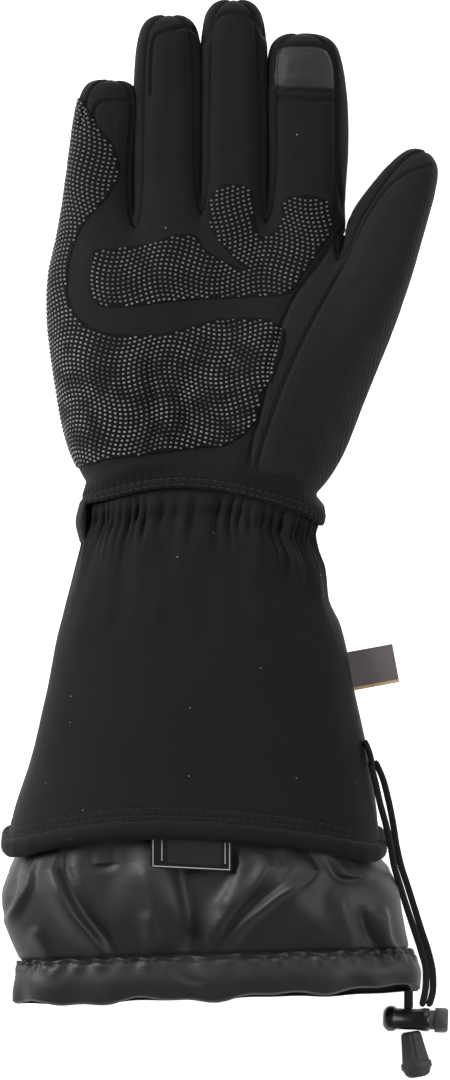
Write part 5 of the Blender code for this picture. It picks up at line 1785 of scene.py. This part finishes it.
@dataclass
class Skirt:
    """The thin nylon snow skirt below the cuff, with the stitched casing at its mouth."""

    cuff: Cuff
    length: float = 0.0470
    width: float = 0.159
    depth: float = 0.056
    casing_depth: float = 0.046
    casing_length: float = 0.0175
    casing_wall: float = 0.0026
    slant: float = 0.0050
    fold_depth: float = 0.0030
    thread: Thread = Thread("thread", 0.0021, 0.0011, 0.00042)
    # Rows: along, spread, lean, rise, lift, fold.
    rows: tuple[tuple[float, ...], ...] = (
        (0.200, 0.955, -0.014, 1.02, 0.020, 0.60), (0.420, 1.000, -0.008, 1.00, 0.000, 1.00),
        (0.650, 1.000, 0.010, 0.80, 0.000, 1.00), (0.860, 0.990, 0.040, 0.35, 0.000, 0.80),
        (1.000, 0.978, 0.064, 0.00, 0.000, 0.35),
    )
    # Folds: top, bottom, breadth, height.
    folds: tuple[tuple[float, ...], ...] = (
        (0.10, 0.22, 0.060, 0.9), (0.30, 0.20, 0.050, -0.7), (0.36, 0.52, 0.065, 1.0),
        (0.60, 0.44, 0.050, -0.8), (0.68, 0.80, 0.060, 1.0), (0.88, 0.72, 0.055, -0.8),
    )
    # Casing rows: along, spread, lean, rise.
    casing_rows: tuple[tuple[float, ...], ...] = (
        (0.00, 0.985, 0.066, 0.98), (0.45, 1.018, 0.078, 1.00), (1.00, 1.026, 0.080, 0.94),
    )
    creases: tuple[Crease, ...] = (
        Crease(((-63, -132), (-58, -150), (-52, -164), (-44, -174), (-36, -188)), 3.0, 1.8, 5.0),
        Crease(((-58, -134), (-53, -152), (-45, -166), (-37, -176), (-30, -190)), -2.2, 2.4),
        Crease(((-70, -138), (-68, -149), (-72, -159), (-79, -171)), 2.6, 1.6, 4.0),
        Crease(((-75, -146), (-76, -158), (-80, -168)), -1.6, 1.8),
        Crease(((-47, -137), (-41, -141), (-34, -137)), 2.0, 1.6, 3.0),
        Crease(((-48, -143), (-41, -146), (-33, -143)), -1.4, 1.8),
        Crease(((-25, -140), (-22, -150), (-19, -162), (-20, -182)), 2.2, 5.0, 4.0),
        Crease(((-9, -134), (-6, -150), (-3, -168), (-3, -190)), -5.6, 5.4),
        Crease(((30, -138), (23, -151), (11, -164), (3, -176), (0, -190)), 3.2, 1.8, 5.0),
        Crease(((48, -136), (43, -149), (30, -158), (14, -172), (6, -188)), 3.2, 1.8, 5.0),
        Crease(((38, -140), (33, -151), (20, -162), (9, -174), (3, -186)), -2.4, 2.6),
        Crease(((50, -135), (56, -145), (64, -146), (69, -138)), 2.6, 1.6, 3.5),
        Crease(((50, -144), (57, -151), (67, -150)), -1.8, 2.0),
        Crease(((72, -160), (75, -176), (84, -184)), 2.6, 1.6, 4.0),
        Crease(((63, -160), (68, -175), (78, -186)), -2.0, 2.4),
        Crease(((7, -164), (14, -150), (18, -136)), 2.0, 1.6, 4.0),
        Crease(((54, -152), (58, -168), (62, -184)), 1.8, 2.2, 5.0),
        Crease(((-16, -182), (-8, -189), (0, -193)), -1.4, 1.4),
        Crease(((-68, -168), (-62, -180), (-59, -192)), 1.8, 2.0, 4.0),
        Crease(((-22, -162), (-20, -176), (-21, -190)), 1.4, 2.2, 4.0),
    )

    def end(self, x: np.ndarray | float) -> np.ndarray | float:
        """Y of the skirt's lower edge, a little higher at the right."""
        level = CUFF_START - CUFF_LENGTH - self.cuff.roll_height - self.length
        return level + x / self.width * self.slant

    def folded(self, share: np.ndarray, along: float) -> np.ndarray:
        """Work out the broad folds.

        Args:
            share: Places across the front, as shares of the width.
            along: How far down the skirt.

        Returns:
            Their height at each place.
        """
        total = np.zeros_like(share)
        for top, bottom, breadth, height in self.folds:
            total += height * bell((share - top - (bottom - top) * along) / breadth)
        return total * self.fold_depth

    def crumpled(self, places: np.ndarray, front: np.ndarray) -> np.ndarray:
        """Small crumples of the thin cloth, fading to the back."""
        crumple = np.abs(rumple(places, 0.012, 0.7)) - 0.4
        fine = np.abs(rumple(places, 0.0036, 2.9)) - 0.4
        return -(0.00026 * crumple + 0.00003 * fine) * (0.35 + 0.65 * front)

    def seam_rings(self, first: np.ndarray) -> list:
        """The rings that carry the skirt from its body up inside the cuff's roll.

        Args:
            first: The body's topmost ring.

        Returns:
            The rings above it.
        """
        x, z, front = self.cuff.outer(np.array(self.cuff.rows[-1]))
        high = self.cuff.roll_height
        under_roll = 1.05 * self.cuff.roll_thickness / 2 + 2 * GAP
        sewn_at = []
        for drop, inward in ((high + GAP, 0.0), (high * 0.4, 0.0), (-0.005, 0.0015)):
            seam_x, seam_z = pushed(x, z, -(under_roll + inward))
            sewn_at.append(ring_at(seam_x, self.cuff.hem(x, front) - drop, seam_z))
        steps = smooth_step(np.linspace(0, 1, 8)[1:])
        return [first * (1 - step) + sewn_at[0] * step for step in steps] + sewn_at[1:]

    def rings(self) -> np.ndarray:
        """The skirt's rings from its casing up to inside the cuff's roll.

        Returns:
            The rings, as rows by sides by three.
        """
        table = np.array(self.rows)
        rings = []
        for along, spread, lean, rise, lift, fold in through(table[:, 0], table, np.linspace(1.0, 0.2, 92)):
            width, middle = spread * self.width, lean * self.width / 2
            top = self.casing_depth + rise * (self.depth - self.casing_depth)
            bottom = lift * self.depth
            x, z = section(middle - width / 2, middle + width / 2, bottom, top)
            front = frontness(z, bottom, top)
            share = (x - middle) / width + 0.5
            x, z = pushed(x, z, self.folded(share, along) * fold * front * 0.8)
            begin = self.cuff.hem(x, front) - self.cuff.roll_height
            y = begin + (self.end(x) - begin) * along
            places = np.stack([x, y, z], axis=1)
            out = creased(places[:, :2], self.creases) * front * (1 - 0.4 * smooth_step((along - 0.8) / 0.2))
            out += self.crumpled(places, front) * smooth_step((1.02 - along) / 0.12)
            x, z = pushed(x, z, out - 0.0006 * smooth_step((along - 0.96) / 0.04))
            rings.append(ring_at(x, y, z))
        rings.insert(0, inset(rings[0], 0.0009, -0.0035, 0.0005))
        return np.array(rings + self.seam_rings(rings[-1]))

    def casing_ring(self, row: np.ndarray) -> np.ndarray:
        """One outer ring of the casing, with its puckers, stitched groove and uneven edges.

        Args:
            row: Along, spread, lean and rise.

        Returns:
            The ring's points.
        """
        along, spread, lean, rise = row
        width, middle = spread * self.width, lean * self.width / 2
        x, z = section(middle - width / 2, middle + width / 2, 0.0, rise * self.casing_depth)
        front = frontness(z, 0.0, self.casing_depth)
        share, part = (x - middle) / width + 0.5, ROUND / (2 * math.pi)
        far = along * self.casing_length / MM
        # Puckers at the stitches, a slow wave towards the mouth, the tunnel's fullness, the
        # stitched groove and both rounded edges.
        out = 0.0007 * np.sin(ROUND * 52 + 3 * np.sin(part * 23)) * bell((far - 1.6) / 3.0)
        out += 0.0008 * np.sin(ROUND * 11 + 2 * np.sin(part * 17)) * along
        out += 0.0003 * math.sin(math.pi * min(1, max(0, (far - 2) / 15.5)))
        out += 0.0007 * bell(far / 4) - 0.0006 * bell((far - 1.6) / 0.8)
        out -= 0.0011 * smooth_step((far - 16.4) / 1.1) + 0.0002 * (1 - smooth_step(far / 1.5))
        x, z = pushed(x, z, self.folded(share, 1.0) * 0.28 * front + out)
        # Both edges run unevenly, and the mouth is higher at the right.
        top_edge = 0.0005 * np.sin(ROUND * 37 + 4 * np.sin(part * 31)) * (1 - along) ** 4
        edge = (0.0011 * np.sin(share * 21 + 1.0) + 0.0006 * np.sin(share * 47)) * (0.3 + 0.7 * front)
        edge += 0.0022 * smooth_step((share - 0.55) / 0.3) * front
        y = self.end(x) - GAP - along * self.casing_length + top_edge + edge * along**2
        places = np.stack([x, y, z], axis=1)
        out = creased(places[:, :2], self.creases) * front * 0.6 + 0.0003 * rumple(places, 0.006, 1.1)
        x, z = pushed(x, z, out)
        return ring_at(x, y, z)

    def casing(self) -> None:
        """Make the hem tunnel as one cloth folded back inside, and its stitches."""
        table = np.array(self.casing_rows)
        outer = [self.casing_ring(row) for row in through(table[:, 0], table, np.linspace(0, 1, 36))]
        rings = np.array(outer + [inset(ring, self.casing_wall, 0.0002, 0.0006) for ring in outer[::-1]])
        faces = grid_faces(len(rings), SIDES, True)[:, ::-1]
        obj = Piece("skirt_casing", rings.reshape(-1, 3), faces, "nylon").build()
        self.thread.sew("casing_stitches", [seam_on(rings, 3, 0.0, 0.5)], "nylon")

    def build(self) -> None:
        """Make the skirt and its casing."""
        rings = self.rings()
        faces = grid_faces(len(rings), SIDES, True)
        obj = Piece("snow_skirt", rings.reshape(-1, 3), faces, "nylon").build()
        self.casing()


# Small pieces


def turned(verts: np.ndarray, angle: float, place: np.ndarray | tuple[float, float, float]) -> np.ndarray:
    """Points turned about the upright axis and moved to their place."""
    c, s = math.cos(angle), math.sin(angle)
    return verts @ np.array([[c, s, 0], [-s, c, 0], [0, 0, 1]]) + np.array(place)


def corners(name: str) -> tuple[np.ndarray, np.ndarray]:
    """The lowest and highest corner of a solid of the part."""
    low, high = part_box(name)
    return np.array(low), np.array(high)


@dataclass
class Tags:
    """The bare side tag with its folded tan edge, and the bare care label under the hem."""

    tilt: float = math.radians(10.5)
    turns: int = 24

    def plate(self, low: np.ndarray, high: np.ndarray, edge: float = 0.0002) -> tuple:
        """A thin plate with a rounded rim, long way in X.

        Args:
            low: Lowest corner.
            high: Highest corner.
            edge: The rim's roundness.

        Returns:
            Points and faces.
        """
        size = (high - low) / 2
        turn = np.linspace(0, 2 * math.pi, self.turns, endpoint=False)
        c, s = np.cos(turn), np.sin(turn)
        y = np.clip(c * 1.5, -1, 1) * (size[1] - edge) + c * edge
        z = np.clip(s * 1.5, -1, 1) * (size[2] - edge) + s * edge
        inner = np.linspace(-size[0] + edge, size[0] - edge, 24)
        rows = [np.stack([x + 0 * y, y, z], axis=1) for x in inner]
        for x, where in ((-size[0], 0), (size[0], len(rows) + 1)):
            rows.insert(where, np.stack([x + 0 * y, y * 0.99, z * 0.9], axis=1))
        grid = np.array(rows) + (high + low) / 2
        return grid.reshape(-1, 3), tube_faces(len(rows), self.turns)

    def side(self) -> None:
        """Make the side tag and its tan edge."""
        middle = sum(corners("side_tag")) / 2
        tag = ("side_tag", -0.00775, 0.00775, "tag_cloth", 0.0006, False)
        edge = ("tag_edge", -0.00785, -0.00655, "tag_edge", 0.00066, True)
        for name, low, high, finish, half, added in (tag, edge):
            verts, faces = self.plate(np.array([-0.0104, low, -half]), np.array([0.0090, high, half]))
            verts[:, 2] += 0.0009 * np.sin((verts[:, 0] + 0.009) / 0.018 * 2.2)
            verts = turned(verts, self.tilt, middle)
            Piece(name, verts, faces, finish, "tag_cloth", added, sharp=40.0).build()

    def label(self, skirt: BVHTree) -> None:
        """Make the care label as a film with a printed frame and two fine lines.

        Args:
            skirt: The skirt's surface for rays.
        """
        low, high = corners("care_label")
        rows, cols = 30, 92
        xs, ys = np.linspace(low[0], high[0], cols), np.linspace(low[1], high[1] + 0.001, rows)
        hits = [skirt.ray_cast(Vector((x, y, 0.2)), Vector((0, 0, -1)))[0] for x in xs for y in ys[::6]]
        level = max([hit.z + GAP for hit in hits if hit is not None] + [high[2] - GAP])
        across, along = np.meshgrid(xs, ys)
        slope = (along - ys.mean()) * math.tan(math.radians(9)) + 0.0003 * np.sin((across - low[0]) / 0.011)
        lean = (across - low[0]) * 0.05
        top = np.stack([across, along - lean, level + slope * 0.5], axis=-1)
        verts = np.concatenate([top, top - np.array([0, 0, 0.0004])]).reshape(-1, 3)
        face_up = grid_faces(rows, cols, False)
        faces = np.concatenate([face_up, face_up[:, ::-1] + rows * cols])
        middle = verts[face_up].mean(axis=1) - low
        u, v = middle[:, 0] / MM, (middle[:, 1] + middle[:, 0] * 0.05) / MM
        rim = np.minimum.reduce([u, (high[0] - low[0]) / MM - u, v])
        line = (rim > 0.6) & (rim < 0.92)
        field = (u > 6.8) & (u < 28.0) & (v > 1.9)
        fine = ((np.abs(u - 4.6) < 0.18) | (np.abs(u - 29.6) < 0.18)) & (v > 3.0)
        finish = np.zeros(len(faces), int)
        finish[: len(face_up)] = np.where(fine, 1, np.where(field, 2, line))
        Piece("care_label", verts, faces, "label_film", extra=("label_line", "label_field"),
              face_finish=finish, smooth=False).build()


@dataclass
class Cords:
    """The retainer cord's two flat strands, their anchor, the lock and the cord's end."""

    width: float = 0.0028
    thickness: float = 0.0013
    lock_centre: tuple[float, float] = (0.0817, -0.2064)
    lock_length: float = 0.0186
    lock_radius: float = 0.0047
    rim: float = 0.0004
    button_length: float = 0.0054
    button_radius: float = 0.0050
    travel: float = 0.0018
    stem_radius: float = 0.0039
    stem_length: float = 0.0075
    end_length: float = 0.0186
    end_width: float = 0.0124
    end_neck: float = 0.0080
    end_depth: float = 0.0075
    # Rows of the cord's end: along, breadth, depth.
    end_rows: tuple[tuple[float, float, float], ...] = (
        (0.00, 0.70, 0.70), (0.02, 0.86, 0.86), (0.06, 1.00, 1.00), (0.30, 0.99, 1.00), (0.60, 1.00, 1.00),
        (0.655, 1.00, 1.00), (0.675, 1.10, 1.10), (0.80, 1.10, 1.10), (0.825, 1.00, 1.00),
        (0.93, 0.86, 0.86), (0.98, 0.66, 0.70), (1.00, 0.40, 0.45),
    )
    strands: tuple[tuple[tuple[float, float, float], ...], ...] = (
        (
            (0.0672, -0.1030, 0.0335), (0.0692, -0.1110, 0.0330), (0.0712, -0.1200, 0.0320),
            (0.0735, -0.1285, 0.0308), (0.0754, -0.1370, 0.0286), (0.0768, -0.1450, 0.0242),
            (0.0792, -0.1530, 0.0182), (0.0820, -0.1620, 0.0116), (0.0850, -0.1710, 0.0060),
            (0.0876, -0.1790, 0.0028), (0.0896, -0.1870, 0.0022), (0.0894, -0.1945, 0.0034),
            (0.0880, -0.2014, 0.0050),
        ),
        (
            (0.0692, -0.1030, 0.0304), (0.0724, -0.1105, 0.0300), (0.0746, -0.1190, 0.0290),
            (0.0764, -0.1280, 0.0276), (0.0778, -0.1370, 0.0248), (0.0796, -0.1450, 0.0200),
            (0.0822, -0.1530, 0.0140), (0.0850, -0.1620, 0.0078), (0.0878, -0.1710, 0.0030),
            (0.0904, -0.1790, 0.0014), (0.0922, -0.1870, 0.0014), (0.0924, -0.1945, 0.0032),
            (0.0907, -0.2014, 0.0050),
        ),
    )

    def strand(self, name: str, points: tuple) -> None:
        """Make one strand as a flat braid.

        Args:
            name: The CAD node that it stands for.
            points: The strand's middle line.
        """
        path = spaced(np.array(points), 0.0012)
        turn = np.interp(np.linspace(0, 1, len(path)), (0, 0.15, 0.5, 1), (0.6, 0.35, 0.25, 0.1))
        side = np.stack([np.cos(turn), 0 * turn, np.sin(turn)], axis=1)
        obj = Piece(name, *ribbon(path, side, self.width, self.thickness), "braid").build()

    def lock(self) -> None:
        """Make the lock's barrel and its push button."""
        half, r = self.lock_length / 2, self.lock_radius
        bore, rim = self.stem_radius + GAP / 2, self.lock_radius + self.rim
        depth = self.stem_length + self.travel + GAP
        barrel = np.array((
            (-half, r * 0.45), (-half + 0.0002, r * 0.66), (-half + 0.0010, r * 0.92),
            (-half + 0.0020, rim * 0.98), (-half + 0.0024, rim), (-half + 0.0040, rim),
            (-half + 0.0044, rim * 0.97), (-half + 0.0054, r * 0.90), (half * 0.50, r * 0.90),
            (half * 0.70, r * 0.97), (half * 0.76, r), (half - 0.0006, r), (half - 0.0001, r * 0.95),
            (half, r * 0.90), (half, bore), (half - depth, bore), (half - depth, 0.0004),
        ))
        start, b = half + self.travel + GAP, self.button_radius
        end = start + self.button_length
        button = np.array((
            (half - self.stem_length, self.stem_radius), (start, self.stem_radius), (start, b * 0.94),
            (start + 0.0004, b), (end - 0.0012, b), (end - 0.0005, b * 0.95), (end, b * 0.82), (end, b * 0.5),
            (end - 0.0003, b * 0.46), (end - 0.0003, 0.0004),
        ))
        place = (*self.lock_centre, rim + GAP / 10)
        pieces = (("cord_lock_barrel", barrel, "lock_plastic", "glove"),
                  ("cord_lock_button", button, "button_plastic", "lock_button"))
        for name, profile, finish, body in pieces:
            verts, faces = revolve(profile)
            Piece(name, turned(verts, math.radians(-2), place), faces, finish, body=body, sharp=38.0).build()

    def tail(self) -> None:
        """Make the ribbed end piece of the draw cord."""
        rows = np.array(self.end_rows)
        turn = np.linspace(0, 2 * math.pi, 72, endpoint=False)
        groove = 0.09 * (0.5 + 0.5 * np.cos(turn * 12)) ** 2
        rings = []
        for along in np.unique(np.concatenate([rows[:, 0], np.linspace(0, 1, 50)])):
            breadth, depth = (np.interp(along, rows[:, 0], rows[:, k]) for k in (1, 2))
            grow = min(along / 0.68, 1.0)
            wide = (self.end_neck + (self.end_width / 1.10 - self.end_neck) * grow) * breadth / 2
            deep = self.end_depth * (0.80 + 0.12 * grow) * depth / 2
            rib = 1 - groove * smooth_step((0.66 - along) / 0.06) * smooth_step((along - 0.04) / 0.06)
            x, z = np.cos(turn) * wide * rib, np.sin(turn) * deep * rib
            rings.append(np.stack([x, 0 * turn - along * self.end_length, z], axis=1))
        top = self.lock_centre[1] - self.lock_radius - GAP
        place = (self.lock_centre[0] + 0.0017, top, self.end_depth * 0.55)
        verts = turned(np.concatenate(rings), math.radians(10), place)
        Piece("cord_end", verts, tube_faces(len(rings), len(turn)), "end_rubber", sharp=50.0).build()

    def anchor(self) -> None:
        """Make the bent webbing loop that holds both strands at the cuff."""
        low, high = corners("cord_anchor")
        x, _, z = (low + high) / 2
        path = np.linspace([x, high[1], z], [x, low[1] - 0.0034, z], 16)
        path[:, 0] += np.linspace(-0.0012, 0.0020, 16) + 0.0006 * np.sin(np.linspace(0, math.pi, 16))
        side = np.tile([0.15, 0.0, 1.0], (16, 1))
        Piece("cord_anchor", *ribbon(path, side, high[2] - low[2], 0.0022), "webbing").build()

    def neck(self) -> None:
        """Make the draw cord's short neck from inside the casing to inside the lock."""
        low, high = corners("draw_cord_neck")
        x, _, z = (low + high) / 2
        path = np.linspace([x, high[1] + 0.0016, z], [x, low[1] - 0.0007, z], 16)
        side = np.tile([1.0, 0.0, 0.0], (16, 1))
        Piece("draw_cord_neck", *ribbon(path, side, high[0] - low[0], 0.0019), "braid").build()

    def build(self) -> None:
        """Make every piece of the cord."""
        for name, points in zip(("retainer_cord_inner", "retainer_cord_outer"), self.strands):
            self.strand(name, points)
        self.anchor()
        self.neck()
        self.lock()
        self.tail()


# Studio


@dataclass
class Studio:
    """A plain white floor, soft light and a camera straight above the glove."""

    height: float = 0.432
    middle: tuple[float, float] = (0.0092, -0.0148)
    floor_half: float = 3.0

    def camera(self) -> None:
        """Place the camera as the photo was taken, looking straight down."""
        data = bpy.data.cameras.new("camera")
        data.type = "ORTHO"
        data.ortho_scale = self.height
        data.sensor_fit = "VERTICAL"
        data.clip_start, data.clip_end = 0.01, 5.0
        obj = bpy.data.objects.new("camera", data)
        obj.location = (*self.middle, 1.2)
        bpy.context.scene.collection.objects.link(obj)
        bpy.context.scene.camera = obj

    def light(self, name: str, place: tuple[float, float, float], size: float, watts: float) -> None:
        """Hang one soft square light that faces the glove.

        Args:
            name: The light's name.
            place: Where it hangs.
            size: Its side.
            watts: Its power.
        """
        data = bpy.data.lights.new(name, "AREA")
        data.size, data.energy = size, watts
        obj = bpy.data.objects.new(name, data)
        obj.location = place
        way = Vector((0.0, -0.02, 0.02)) - Vector(place)
        obj.rotation_euler = way.to_track_quat("-Z", "Y").to_euler()
        bpy.context.scene.collection.objects.link(obj)

    def floor(self) -> None:
        """Lay the white paper under the glove, bright enough to leave no grey shadow."""
        corner_signs = np.array([[-1, -1], [1, -1], [1, 1], [-1, 1]])
        verts = np.column_stack([corner_signs * self.floor_half, np.full(4, -0.0004)])
        mesh = bpy.data.meshes.new("floor")
        fill_mesh(mesh, verts, np.array([[0, 1, 2, 3]]))
        # White paper with no shine.
        paper = Moulded("white_paper", "fafafa", 0.9, 0.0).make()
        shader = paper.node_tree.nodes["Principled BSDF"]
        shader.inputs["Emission Color"].default_value = (1.0, 1.0, 1.0, 1.0)
        shader.inputs["Emission Strength"].default_value = 0.9
        mesh.materials.append(paper)
        obj = bpy.data.objects.new("floor", mesh)
        bpy.context.scene.collection.objects.link(obj)

    def build(self) -> None:
        """Lay the floor and hang the lights."""
        world = bpy.data.worlds.new("soft_room")
        world.use_nodes = True
        back = world.node_tree.nodes["Background"]
        back.inputs[0].default_value = (1.0, 1.0, 1.0, 1.0)
        back.inputs[1].default_value = 0.20
        bpy.context.scene.world = world
        bpy.context.scene.view_settings.view_transform = "Standard"
        self.light("key", (-0.95, 0.35, 0.60), 0.6, 22.0)
        self.light("fill", (0.75, -0.2, 0.75), 0.6, 6.5)
        self.light("rim", (0.25, 0.9, 0.75), 0.7, 4.5)
        self.floor()


# The patches of the palm side, their outlines in millimetres.
HEEL = Patch(
    "heel_grip_patch",
    (
        (-48, 162.4), (-44, 155.2), (-40.8, 150), (-35.6, 143.2), (-33.6, 137.2), (-33.2, 131.2),
        (-36, 125.2), (-39.6, 120), (-44, 115.2), (-48, 110), (-52.4, 98), (-53.6, 84.8), (-51.2, 76.8),
        (-44, 70), (-28.8, 67.6), (-14.8, 68), (-2.8, 71.2), (9.2, 74), (23.2, 74), (33.6, 68), (32.4, 61.2),
        (27.2, 47.2), (24, 42.8), (22.4, 33.2), (16.4, 27.2), (9.2, 22.8), (-0.8, 22), (-20.8, 19.2),
        (-36.8, 17.2), (-51.2, 14), (-66, 16), (-76, 60), (-76, 120), (-64, 158),
    ),
    "grip_base", "grip_print", low=14.0,
)
FINGER_PATCH = Patch(
    "finger_grip_patch",
    (
        (-44, 101.2), (-45.2, 85.6), (-42.4, 79.6), (-28.8, 78.4), (-14.8, 80), (-0.8, 81.2), (23.2, 82.4),
        (35.2, 84), (40.4, 91.2), (46.4, 100), (51.2, 107.2), (51.6, 119.2), (48, 122), (35.2, 122.8),
        (32, 119.2), (31.6, 112.4), (24, 106.4), (21.2, 111.2), (20.8, 119.2), (19.2, 125.2), (15.2, 127.6),
        (8, 127.2), (3.2, 122.4), (2.6, 112.0), (6.5, 104.6), (17.2, 93.4), (1.0, 101.6), (-3.6, 107.6),
        (-12.8, 106.8), (-20.8, 104), (-32.8, 102.4),
    ),
    "grip_base", "grip_print",
)
TOUCH = Patch(
    "touch_patch", TOUCH_OUTLINE, "touch_cloth", "touch_cloth", thickness=0.5, rise=1.0, edge=0.1, dome=0.7
)


def main() -> None:
    """Build the whole glove in its frame."""
    logging.basicConfig(level=logging.INFO, format="%(message)s")
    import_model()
    studio = Studio()
    studio.camera()
    Cords().build()
    hand = Hand()
    hand.build()
    tree = hand.fine.tree()
    for patch in (HEEL, FINGER_PATCH, TOUCH):
        patch.cover(hand.fine)
    for patch in (HEEL, FINGER_PATCH):
        Dots(patch).build(tree)
    Band().build(tree)
    cuff = Cuff()
    cuff.build()
    skirt = Skirt(cuff)
    skirt.build()
    tags = Tags()
    tags.side()
    rings = skirt.rings()
    cloth = grid_faces(len(rings), SIDES, True)
    tags.label(BVHTree.FromPolygons(rings.reshape(-1, 3).tolist(), cloth.tolist()))
    studio.build()


if __name__ == "__main__":
    main()
